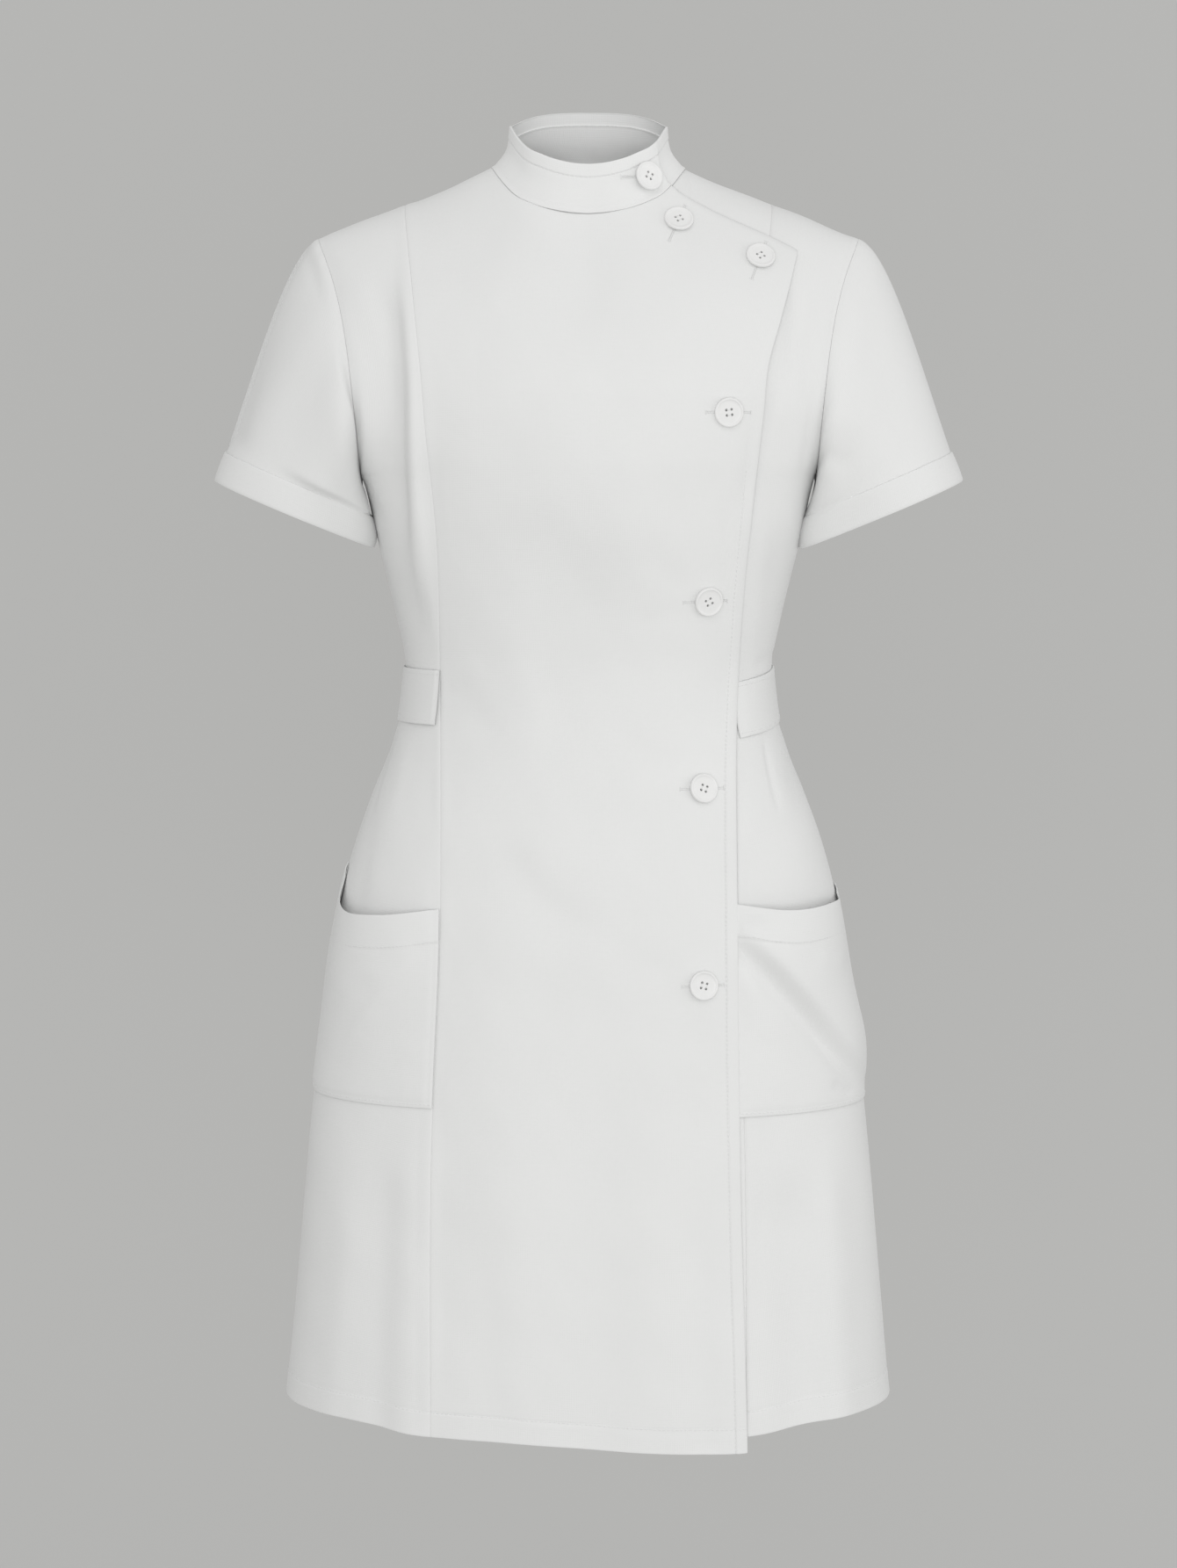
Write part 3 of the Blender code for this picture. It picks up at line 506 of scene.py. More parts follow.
def fold_lift(x, z, folds):
    """How far the folds lift or sink the cloth."""
    x, z = np.broadcast_arrays(x, z)
    total = np.zeros(x.shape)
    for fold in folds:
        run_x = fold.x2 - fold.x1
        run_z = fold.z2 - fold.z1
        length = math.hypot(run_x, run_z)
        along = ((x - fold.x1) * run_x + (z - fold.z1) * run_z) / length**2
        t = np.clip(along, 0, 1)
        across = ((x - fold.x1) * run_z - (z - fold.z1) * run_x) / length
        across = across - fold.bow * 4 * t * (1 - t)
        reach = np.where(across < 0, fold.near, fold.far)
        past = (along - t) * length
        fade = ease(along / 0.3)
        if fold.z2 > HEM + 1:
            fade = fade * ease((1 - along) / 0.3)
        total += fold.height * np.exp(-(across**2 + past**2) / reach**2) * fade
    return total


def drape(across, up):
    """Slow uneven waves all over the cloth."""
    total = np.zeros(np.broadcast(across, up).shape)
    for wave in WAVES:
        total += wave.amplitude * np.sin(wave.across * across + wave.up * up + wave.phase)
    return total


def ring_angle(x, z):
    """Angle round a section, from 0 at its middle to a right angle at its side."""
    share = np.minimum(np.abs(x) / half_width(z), 1.0)
    return np.copysign(np.arcsin(share ** (ROUNDNESS / 2)), x)


def ring_x(angle, z):
    return np.copysign(half_width(z) * np.abs(np.sin(angle)) ** (2 / ROUNDNESS), angle)


def ridge_z(side, x, angle):
    start = RIDGE_START[side]
    rise = np.sin(angle) ** (2 / fullness[side](np.abs(x)))
    return start + (ridge_height(np.abs(x)) - start) * rise


def ridge_angle(side, x, z):
    start = RIDGE_START[side]
    rise = np.clip((z - start) / (ridge_height(np.abs(x)) - start), 0, 1)
    return np.arcsin(rise ** (fullness[side](np.abs(x)) / 2))


def seam_on_ridge(side, line, angle):
    """Where a seam line crosses each row of the rounded shoulder."""
    z = np.full(np.shape(angle), RIDGE_START[side])
    for _ in range(12):
        x = line(z)
        z = ridge_z(side, x, angle)
    return x


def hem_height(x):
    return HEM + SIDE_HEM_RISE * ease((np.abs(x) - 105) / 80)


def overlap_hem(x):
    return hem_height(x) - OVERLAP_HEM_DROP * ease((x + 110) / 220)


def neck_or_ridge(side):
    """Height of a panel's top edge: the neck seam, then the shoulder ridge."""
    def height(x):
        inside = np.abs(x) < NECK_HALF_WIDTH
        return np.where(inside, neck_height[side](np.abs(x)), ridge_height(np.abs(x)))
    return height


def overlap_top(x):
    """Top edge of the overlapping front, down from the neck seam to its own edge."""
    return np.where(x <= OVERLAP_NECK_END, neck_or_ridge(FRONT)(x), overlap_shoulder(x))


def overlap_lift(x):
    """The overlapping front is flush at its seam and rides over the other front."""
    return OVERLAP_LIFT * ease((x + 105) / 110)


def side_line(side, hand):
    """Outer edge of a side panel: the side seam, then the armhole."""
    def line(z):
        return hand * np.where(z <= UNDERARM, half_width(z), armhole_x[side](z))
    return line


def princess_line(hand):
    return lambda z: hand * princess_x(z)


EDGE_STEPS = np.array([0, 0.3, 0.7, 1.2, 1.9, 2.8, 4, 5.5, 7, 7.8, 8.3, 8.7, 9.2, 10, 11.5, 13.5])
HEM_STEPS = np.array([0, 0.3, 0.7, 1.3, 2.4, 4.5, 8, 12, 15, 16.2, 16.8, 17.3, 18, 19.5, 22])


def dense_shares(width, step, stops=(), left=EDGE_STEPS, right=EDGE_STEPS):
    """Shares across a panel, close together near its two edges."""
    middle = np.arange(left[-1], width - right[-1], step)
    shares = np.concatenate((left, middle, width - right)) / width
    shares = np.concatenate((shares, stops))
    shares = np.unique(np.round(np.clip(shares, 0, 1), 6))
    keep = np.concatenate(([True], np.diff(shares) * width > 0.2))
    for stop in list(stops) + [1.0]:
        keep |= np.isclose(shares, round(stop, 6))
    return shares[keep]


def top_places(shares, stops):
    """Places along a panel's top edge; neck stretches turn evenly round the neck."""
    places = np.zeros(len(shares))
    for (start, left), (end, right) in zip(stops, stops[1:]):
        part = (shares >= start - 1e-9) & (shares <= end + 1e-9)
        t = (shares[part] - start) / (end - start)
        if max(abs(left), abs(right)) <= NECK_HALF_WIDTH:
            first = math.asin(left / NECK_HALF_WIDTH)
            last = math.asin(right / NECK_HALF_WIDTH)
            places[part] = NECK_HALF_WIDTH * np.sin(mix(first, last, t))
        else:
            places[part] = mix(left, right, t)
    return places


def panel_levels(side):
    """Heights of the rows below the rounded shoulder, close together at the hem."""
    low = HEM + HEM_STEPS
    high = np.arange(low[-1] + 3.6, RIDGE_START[side] - 1.5, 3.6)
    marks = [BELT_BOTTOM, BELT_TOP, UNDERARM, RIDGE_START[side]]
    return np.unique(np.concatenate((low, high, marks)))


def panel_points(side, left, right, shares, stops, top_height, hem):
    """Grid of points on the form, from the hem to the top seam."""
    tops = top_places(shares, stops)
    z = panel_levels(side)[:, None]
    low = ring_angle(left(z), z)
    high = ring_angle(right(z), z)
    x = ring_x(mix(low, high, shares[None, :]), z)
    down = np.clip((HEM + HEM_BLEND - z) / HEM_BLEND, 0, 1)
    rows = form_points(side, x, z + (hem(x) - HEM) * down)

    start = np.array(RIDGE_START[side])
    ridge = ridge_angle(side, tops, top_height(tops))
    steps = np.concatenate((np.arange(1, 40) / 40, [0.985, 0.994, 1.0]))
    first = seam_on_ridge(side, left, ridge[0] * steps)[:, None]
    last = seam_on_ridge(side, right, ridge[-1] * steps)[:, None]
    foot = ring_x(mix(ring_angle(left(start), start), ring_angle(right(start), start), shares), start)
    foot_part = (foot - left(start)) / (right(start) - left(start))
    top_part = (tops - tops[0]) / (tops[-1] - tops[0])
    t = steps[:, None]
    x = mix(first, last, mix(foot_part[None, :], top_part[None, :], t))
    upper = form_points(side, x, ridge_z(side, x, ridge[None, :] * t))
    grid = np.concatenate((rows, upper))
    smooth_shoulder(side, grid)
    top = grid[-1]
    on_ridge = np.abs(top[:, 1]) < SEAM
    top[:, 1] = np.where(on_ridge, side * SEAM_GAP / 2, top[:, 1])
    for edge, inner in ((0, 1), (-1, -2)):
        grid[:, edge] += unit(grid[:, inner] - grid[:, edge]) * SEAM_GAP / 2
    return grid


def smooth_shoulder(side, grid):
    """Even out the bend where the rounded shoulder starts."""
    x, z = grid[..., 0], grid[..., 2]
    limit = armhole_x[side](z)
    share = ease((z - RIDGE_START[side] + 50) / 30) * ease((RIDGE_START[side] + 75 - z) / 40)
    share = share * ease((limit - np.abs(x)) / 18)
    share = share[1:-1] * 0.5
    below, above = z[1:-1] - z[:-2], z[2:] - z[1:-1]
    depth = grid[..., 1]
    for _ in range(120):
        even = (depth[:-2] * above + depth[2:] * below) / (above + below)
        depth[1:-1] += share * (even - depth[1:-1])


def distances(grid, axis):
    """Distance along the cloth from the first and from the last row or column."""
    steps = np.linalg.norm(np.diff(grid, axis=axis), axis=-1)
    runs = np.concatenate((np.zeros_like(steps.take([0], axis)), np.cumsum(steps, axis)), axis)
    return runs, runs.take([-1], axis) - runs


def seam_edge(distance, depth):
    """Cloth rolls in at a sewn seam, over the layers behind it."""
    return 0.3 * depth * bell(distance - 4, 2.5) - depth * bell(distance, 0.9)


def turned_edge(distance, width):
    """Folded edge, thicker as far as its stitching, which pulls it in."""
    thick = 0.5 * (1 - ease((distance - width + 0.4) / 0.8))
    line = -0.5 * bell(distance - width - 0.4, 0.55)
    return thick + line - 0.35 * bell(distance, 0.45)


def pucker(along, distance, width):
    """Tiny uneven gathers that the stitching draws in."""
    waves = np.sin(along / 1.3 + 1.7 * np.sin(along / 17.0)) + 0.6 * np.sin(along / 2.9 + 0.8)
    return 0.05 * waves * bell(distance - width, 3.0)


def build_mesh(name, points, faces, material, coordinates=None):
    """Object from points in millimetres and lists of corners."""
    mesh = bpy.data.meshes.new(name)
    mesh.from_pydata((np.asarray(points) * MM).tolist(), [], faces)
    if coordinates is not None:
        corners = np.empty(len(mesh.loops), np.int32)
        mesh.loops.foreach_get("vertex_index", corners)
        layer = mesh.uv_layers.new(name="cloth")
        layer.data.foreach_set("uv", np.asarray(coordinates, float)[corners].ravel())
    mesh.shade_smooth()
    mesh.materials.append(material)
    thing = bpy.data.objects.new(name, mesh)
    bpy.context.collection.objects.link(thing)
    return thing


def grid_faces(rows, columns, tube, first, flipped):
    """Corners of the faces of one grid of points."""
    faces = []
    spans = columns if tube else columns - 1
    for row in range(rows - 1):
        for i in range(spans):
            j = (i + 1) % columns
            face = (first + row * columns + i, first + row * columns + j,
                    first + (row + 1) * columns + j, first + (row + 1) * columns + i)
            faces.append(face[::-1] if flipped else face)
    return faces


def shell_parts(outer, inner, tube=False):
    """Points, faces and flat cloth coordinates of a thin closed shell."""
    rows, columns = outer.shape[:2]
    size = rows * columns
    faces = grid_faces(rows, columns, tube, 0, False)
    faces += grid_faces(rows, columns, tube, size, True)
    spans = columns if tube else columns - 1
    last = (rows - 1) * columns
    for i in range(spans):
        j = (i + 1) % columns
        faces.append((j, i, size + i, size + j))
        faces.append((last + i, last + j, size + last + j, size + last + i))
    if not tube:
        for row in range(rows - 1):
            low = row * columns
            up = low + columns
            faces.append((low, up, size + up, size + low))
            low, up = low + columns - 1, up + columns - 1
            faces.append((up, low, size + low, size + up))
    across = distances(outer, 1)[0]
    up = distances(outer, 0)[0]
    middle = across[:, columns // 2][:, None]
    flat = np.stack((across - middle, up), -1).reshape(-1, 2)
    flat = np.concatenate((flat, flat + 3.0))
    points = np.concatenate((outer.reshape(-1, 3), inner.reshape(-1, 3)))
    return points, faces, flat * MM


def join_parts(parts):
    """Several sets of points, faces and coordinates as one."""
    points, faces, flats = [], [], []
    count = 0
    for part_points, part_faces, flat in parts:
        points.append(part_points)
        flats.append(flat)
        faces += [tuple(corner + count for corner in face) for face in part_faces]
        count += len(part_points)
    return np.concatenate(points), faces, np.concatenate(flats)


def grid_size(grid, tube=False):
    """Widest and longest run of a grid, in metres."""
    if tube:
        grid = np.concatenate((grid, grid[:, :1]), 1)
    width = distances(grid, 1)[0][:, -1].max()
    length = distances(grid, 0)[0][-1].max()
    return float(width * MM), float(length * MM)


def grid_normals(grid, tube=False):
    """Outward directions of a grid of points, from its own slopes."""
    if tube:
        across = np.roll(grid, -1, 1) - np.roll(grid, 1, 1)
    else:
        across = np.gradient(grid, axis=1)
    up = np.gradient(grid, axis=0)
    return unit(np.cross(across, up))


def line_across(grid, normals, distance, target, axis):
    """Run of points at one distance from an edge, with the outward directions."""
    if axis == 0:
        grid = grid.swapaxes(0, 1)
        normals = normals.swapaxes(0, 1)
        distance = distance.swapaxes(0, 1)
    points, out = [], []
    for row, normal, here in zip(grid, normals, distance):
        order = np.argsort(here)
        sorted_here = here[order]
        if not sorted_here[0] <= target <= sorted_here[-1]:
            continue
        points.append([np.interp(target, sorted_here, row[order, k]) for k in range(3)])
        out.append([np.interp(target, sorted_here, normal[order, k]) for k in range(3)])
    return np.array(points), unit(np.array(out))


def resample(points, spots):
    """Points at given distances along a run."""
    steps = np.linalg.norm(np.diff(points[:, :3], axis=0), axis=1)
    runs = np.concatenate(([0], np.cumsum(steps)))
    return np.stack([np.interp(spots, runs, points[:, k]) for k in range(points.shape[1])], -1)


def run_length(points):
    return float(np.linalg.norm(np.diff(points, axis=0), axis=1).sum())


StitchRing = namedtuple("StitchRing", "part lift radius")
STITCH_RINGS = table(StitchRing, (
    (0.0, -1.0, 0.35), (0.16, 0.35, 1.0), (0.5, 0.6, 1.05), (0.84, 0.35, 1.0), (1.0, -1.0, 0.35),
))
STITCH_SIDES = 5


def stitches(points, normals, start=1.0):
    """A row of single stitches along a run on the cloth."""
    length = run_length(points)
    both = np.concatenate((points, normals), 1)
    starts = np.arange(start, length - STITCH_LENGTH, STITCH_STEP)
    rings = []
    for ring in STITCH_RINGS:
        here = resample(both, starts + ring.part * STITCH_LENGTH)
        ahead = resample(both, starts + ring.part * STITCH_LENGTH + 0.2)
        behind = resample(both, starts + ring.part * STITCH_LENGTH - 0.2)
        out = unit(here[:, 3:])
        along = unit(ahead[:, :3] - behind[:, :3])
        side = unit(np.cross(along, out))
        centre = here[:, :3] + out * ring.lift * THREAD_RADIUS
        for i in range(STITCH_SIDES):
            turn = 2 * math.pi * i / STITCH_SIDES
            offset = math.cos(turn) * side + math.sin(turn) * out
            rings.append(centre + offset * ring.radius * THREAD_RADIUS)
    size = len(STITCH_RINGS) * STITCH_SIDES
    cloud = np.stack(rings, 1).reshape(-1, 3)
    faces = []
    for k in range(len(starts)):
        low = k * size
        for ring in range(len(STITCH_RINGS) - 1):
            for i in range(STITCH_SIDES):
                j = (i + 1) % STITCH_SIDES
                a = low + ring * STITCH_SIDES
                b = a + STITCH_SIDES
                faces.append((a + i, a + j, b + j, b + i))
        faces.append(tuple(range(low + STITCH_SIDES - 1, low - 1, -1)))
        end = low + size - STITCH_SIDES
        faces.append(tuple(range(end, end + STITCH_SIDES)))
    return cloud, faces, cloud[:, ::2] * MM


def fill(tree, node, inputs):
    """Set a node's inputs to values, or link them to outputs."""
    for name, value in inputs.items():
        if isinstance(value, bpy.types.NodeSocket):
            tree.links.new(value, node.inputs[name])
        else:
            node.inputs[name].default_value = value


def add_node(tree, kind, output, inputs, **settings):
    """Output of a new shader node."""
    node = tree.nodes.new("ShaderNode" + kind)
    for name, value in settings.items():
        setattr(node, name, value)
    fill(tree, node, inputs)
    return node.outputs[output]


def new_material(name):
    material = bpy.data.materials.new(name)
    material.use_nodes = True
    return material, material.node_tree


def mixed_colour(tree, low, high, factor):
    return add_node(tree, "Mix", "Result", {"A": low, "B": high, "Factor": factor}, data_type="RGBA")


def noise(tree, vector, scale, detail=3.0, rough=0.5):
    inputs = {"Scale": scale, "Detail": detail, "Roughness": rough, "Vector": vector}
    return add_node(tree, "TexNoise", "Fac", inputs)


def stretched(tree, vector, scale):
    return add_node(tree, "Mapping", "Vector", {"Scale": scale, "Vector": vector})


def threads(tree, vector, direction, scale):
    inputs = {"Scale": scale, "Distortion": 0.6, "Detail": 1.0, "Detail Scale": 0.4, "Vector": vector}
    return add_node(tree, "TexWave", "Fac", inputs, wave_type="BANDS", bands_direction=direction)


def maths(tree, operation, first, second):
    return add_node(tree, "Math", 0, {0: first, 1: second}, operation=operation)


def between(tree, low, high, factor):
    return add_node(tree, "MapRange", "Result", {"To Min": low, "To Max": high, "Value": factor})


def bump(tree, height, distance, strength, **before):
    inputs = {"Distance": distance, "Strength": strength, "Height": height}
    return add_node(tree, "Bump", "Normal", {**inputs, **before})


def poplin_material():
    """Fine white plain weave with slubs, a soft sheen and a slightly uneven colour."""
    material, tree = new_material("white_poplin")
    flat = add_node(tree, "UVMap", "UV", {}, uv_map="cloth")
    weave = maths(tree, "ADD", threads(tree, flat, "X", 260.0), threads(tree, flat, "Y", 240.0))
    slub_across = noise(tree, stretched(tree, flat, (60, 900, 1)), 1.0)
    slub_along = noise(tree, stretched(tree, flat, (1000, 50, 1)), 1.0)
    slubs = maths(tree, "ADD", slub_across, slub_along)
    cloud = noise(tree, flat, 9.0, 4.0, 0.55)
    tint = maths(tree, "ADD", maths(tree, "MULTIPLY", cloud, 0.6), maths(tree, "MULTIPLY", slubs, 0.2))
    fine = bump(tree, weave, 0.00006, 0.35)
    wide = bump(tree, slubs, 0.00012, 0.35, Normal=fine)
    fill(tree, tree.nodes["Principled BSDF"], {
        "Base Color": mixed_colour(tree, (0.775, 0.780, 0.775, 1), (0.850, 0.852, 0.848, 1), tint),
        "Roughness": between(tree, 0.62, 0.84, cloud),
        "Normal": bump(tree, noise(tree, flat, 120.0, 3.0, 0.6), 0.00025, 0.3, Normal=wide),
        "Specular IOR Level": 0.3,
        "Sheen Weight": 0.12,
        "Sheen Roughness": 0.45,
    })
    return material


def thread_material():
    """White sewing thread with its twist."""
    material, tree = new_material("white_thread")
    twist = threads(tree, add_node(tree, "TexCoord", "Object", {}), "DIAGONAL", 700.0)
    fill(tree, tree.nodes["Principled BSDF"], {
        "Base Color": mixed_colour(tree, (0.76, 0.765, 0.765, 1), (0.86, 0.86, 0.855, 1), twist),
        "Normal": bump(tree, twist, 0.00008, 0.4),
        "Roughness": 0.6,
        "Sheen Weight": 0.2,
    })
    return material


def button_material():
    """White moulded plastic with faint clouds and fine handling marks."""
    material, tree = new_material("white_button")
    place = add_node(tree, "TexCoord", "Object", {})
    marks = noise(tree, stretched(tree, place, (900, 250, 900)), 1.0, 4.0, 0.6)
    fill(tree, tree.nodes["Principled BSDF"], {
        "Base Color": mixed_colour(
            tree, (0.80, 0.80, 0.795, 1), (0.87, 0.87, 0.865, 1), noise(tree, place, 90.0, 3.0)),
        "Roughness": between(tree, 0.30, 0.46, marks),
        "Normal": bump(tree, marks, 0.00003, 0.3),
        "Coat Weight": 0.15,
        "Coat Roughness": 0.25,
    })
    return material


POPLIN = poplin_material()
THREAD = thread_material()
PLASTIC = button_material()


def place_piece(piece, slot, *nodes):
    """Let a piece ride with the dress and stand for its solids."""
    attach(piece, "root")
    if nodes:
        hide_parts(*nodes)
    return piece


def cloth_piece(name, node, outer, inner, tube=False, extra=(), sewing=()):
    """Finished cloth piece with its sewing."""
    parts = [shell_parts(outer, inner, tube)] + list(extra)
    points, faces, flat = join_parts(parts)
    piece = build_mesh(name, points, faces, POPLIN, flat)
    place_piece(piece, "white_poplin", node)
    if sewing:
        points, faces, flat = join_parts(sewing)
        thread = build_mesh(name + "_stitches", points, faces, THREAD, flat)
        place_piece(thread, "white_poplin")
    width, length = grid_size(outer, tube)
    return piece


def button_dimples(x, z):
    """Cloth drawn in a little where a button is sewn through it."""
    total = np.zeros(np.broadcast(x, z).shape)
    for button in BUTTONS[1:]:
        away = (x - button.x) ** 2 + (z - button.z) ** 2
        total -= BUTTON_DIMPLE * np.exp(-away / 8.0**2)
    return total


def filled_out(points):
    """Cloth at the front fills out beside the armhole seam."""
    x, y, z = points[..., 0], points[..., 1], points[..., 2]
    near = bell(np.abs(x) - armhole_x[FRONT](z), ARMHOLE_FILL_REACH)
    level = bell(z - ARMHOLE_FILL_HEIGHT, ARMHOLE_FILL_SPAN)
    fill_here = np.where(x > 0, ARMHOLE_FILL[1], ARMHOLE_FILL[-1])
    moved = points.copy()
    moved[..., 1] -= fill_here * near * level * ease((-y - 1) / 24)
    return moved


def panel_faces(side, grid, lift, edges, dimples=False):
    """Outer and inner faces of a panel with its folds and sewn edges."""
    normals = form_normals(side, grid)
    x, z = grid[..., 0], grid[..., 2]
    from_left, from_right = distances(grid, 1)
    from_hem, from_top = distances(grid, 0)
    wide = np.abs(x[len(x) // 2]) > 120
    armholes = {"left": wide[0], "right": wide[-1], "top": False}
    fade = ease((from_left - 1) / 10) * ease((from_right - 1) / 10)
    free = np.ones(x.shape)
    for name, away in (("left", from_left), ("right", from_right)):
        if armholes[name]:
            free = free * mix(1.0, ease((away - 1) / 12), ease((z - UNDERARM) / 12))
    shape = lift + fold_lift(x, z, FOLDS[side]) * free
    shape = shape + fold_lift(x, z, CREASES[side]) * mix(0.35, 1.0, fade) * free
    shape = shape + drape(x, z) * fade
    if dimples:
        shape = shape + button_dimples(x, z)
    thick = np.full(shape.shape, CLOTH)
    for name, away, along in (("left", from_left, z), ("right", from_right, z), ("top", from_top, x)):
        if edges[name] in SEAM_DEPTH:
            depth = SEAM_DEPTH[edges[name]] * (0.5 if name == "top" else 1.0)
            shape = shape + seam_edge(away, depth * np.where(armholes[name] & (z > UNDERARM), 0.15, 1.0))
        elif edges[name] == "facing":
            shown = mix(0.12, 1.0, ease((FACING_TOP - z) / 60))
            edge = 1.1 * turned_edge(away, OVERLAP_FACING) + pucker(along, away, OVERLAP_FACING)
            shape = shape + shown * edge
            thick = thick + 0.5 * (1 - ease((away - OVERLAP_FACING) / 1.0))
    shape = shape + 0.6 * turned_edge(from_hem, HEM_DEPTH) + pucker(x, from_hem, HEM_DEPTH)
    thick = thick + 0.5 * (1 - ease((from_hem - HEM_DEPTH) / 1.0))
    outer = filled_out(grid + normals * shape[..., None])
    inner = outer - normals * np.minimum(thick, WALL - 0.1)[..., None]
    return outer, inner, (from_left, from_right, from_hem, from_top)


def seam_strip(side, grid, column, rows):
    """Pressed seam allowance that lies behind a seam between two panels."""
    line = grid[rows, column]
    normals = form_normals(side, line)
    across = unit(np.cross(normals, unit(np.gradient(line, axis=0))))
    offsets = np.linspace(-SEAM_ALLOWANCE, SEAM_ALLOWANCE, 8)
    depth = CLOTH + 0.5 + offsets**2 / 50
    base = line + normals * fold_lift(line[:, 0], line[:, 2], FOLDS[side])[:, None]
    outer = base[:, None] + across[:, None] * offsets[None, :, None] - normals[:, None] * depth[None, :, None]
    return shell_parts(outer, outer - normals[:, None] * 0.4)


def build_front_overlap():
    """Wide front that laps over the other one and carries the buttonholes."""
    neck = (0.1875, 0.75)
    stops = ((0.0, -PRINCESS_TOP), (neck[0], -NECK_HALF_WIDTH), (neck[1], OVERLAP_NECK_END),
             (1.0, OVERLAP_SHOULDER_END))
    shares = dense_shares(218, 3.4, neck)
    grid = panel_points(FRONT, princess_line(-1), overlap_x, shares, stops, overlap_top, overlap_hem)
    edges = {"left": "soft", "right": "facing", "top": "none"}
    outer, inner, away = panel_faces(FRONT, grid, overlap_lift(grid[..., 0]), edges, dimples=True)
    _, from_right, from_hem, from_top = away
    press = 0.9 * bell(from_top, 2.2) * ease((grid[..., 0] - OVERLAP_NECK_END) / 6)
    press = (press + 0.5 * bell(from_right, 2.0))[..., None] * form_normals(FRONT, grid)
    outer = outer - press
    inner = inner - press
    normals = grid_normals(outer)
    low = grid[:, -1, 2] < FACING_TOP - 20
    sewing = [
        stitches(*line_across(outer[low], normals[low], from_right[low], OVERLAP_FACING + 0.2, 1)),
        stitches(*line_across(outer, normals, from_hem, HEM_DEPTH, 0)),
    ]
    strip = seam_strip(FRONT, grid, 0, slice(None))
    cloth_piece("overlap_front", "front_overlap", outer, inner, extra=[strip], sewing=sewing)
    return grid, outer, normals


def plain_panel(name, node, side, lines, shares, stops, edges, strip=None):
    """Panel with a level hem and a sewn top; strip names the seam column and its rows."""
    grid = panel_points(side, *lines, shares, stops, neck_or_ridge(side), hem_height)
    if grid[0, 0, 0] * side < grid[0, -1, 0] * side:
        grid = grid[:, ::-1]
    outer, inner, away = panel_faces(side, grid, 0.0, {**edges, "top": "seam"})
    sewing = [stitches(*line_across(outer, grid_normals(outer), away[2], HEM_DEPTH, 0))]
    extra = [seam_strip(side, grid, *strip)] if strip else []
    cloth_piece(name, node, outer, inner, extra=extra, sewing=sewing)


def build_front_underlap():
    """Front that lies under the overlap; it shows above the overlap's shoulder edge."""
    middle = 4 / 7
    stops = ((0.0, UNDERLAP_EDGE), (middle, NECK_HALF_WIDTH), (1.0, PRINCESS_TOP))
    lines = (lambda z: UNDERLAP_EDGE + 0 * z, princess_line(1))
    edges = {"left": "facing", "right": "seam"}
    plain_panel("underlap_front", "front_underlap", FRONT, lines, dense_shares(90, 3.6, (middle,)), stops,
                edges, strip=(-1, slice(None)))


def build_front_side(name, node, hand):
    """Side front between the princess seam, the side seam and the armhole."""
    stops = ((0.0, hand * PRINCESS_TOP), (1.0, hand * SHOULDER_HALF_WIDTH))
    lines = (princess_line(hand), side_line(FRONT, hand))
    edges = {"left": "seam", "right": "soft" if hand < 0 else "seam"}
    below = np.nonzero(panel_levels(FRONT) <= UNDERARM)[0]
    plain_panel(name, node, FRONT, lines, dense_shares(150, 3.4), stops,
                edges, strip=(-1 if hand > 0 else 0, below))


def build_back():
    """Back in one piece from side seam to side seam."""
    neck, tip = NECK_HALF_WIDTH, SHOULDER_HALF_WIDTH
    stops = ((0.0, -tip), (0.25, -neck), (0.75, neck), (1.0, tip))
    lines = (side_line(BACK, -1), side_line(BACK, 1))
    edges = {"left": "seam", "right": "seam"}
    plain_panel("back_panel", "back", BACK, lines, dense_shares(560, 4.2, (0.25, 0.75)), stops,
                edges)


def armhole_edge(side, hand):
    """Armhole points from the shoulder tip down to the underarm."""
    line = side_line(side, hand)
    start = RIDGE_START[side]
    levels = np.linspace(UNDERARM, start, 22)
    low = form_points(side, line(levels), levels)
    angles = np.linspace(0, math.pi / 2, 40)[1:]
    x = seam_on_ridge(side, line, angles)
    high = form_points(side, x, ridge_z(side, x, angles))
    return np.concatenate((low, high))[::-1]


def turn_shares(points):
    steps = np.linalg.norm(np.diff(points, axis=0), axis=1)
    runs = np.concatenate(([0], np.cumsum(steps)))
    return runs / runs[-1]


def sleeve_columns(hand):
    """Start point and turn angle of each column round the sleeve."""
    front = armhole_edge(FRONT, hand)
    back = armhole_edge(BACK, hand)
    starts = np.concatenate((front, back[-2:0:-1]))
    turns = np.concatenate((math.pi * turn_shares(front), 2 * math.pi - math.pi * turn_shares(back)[-2:0:-1]))
    return starts, turns


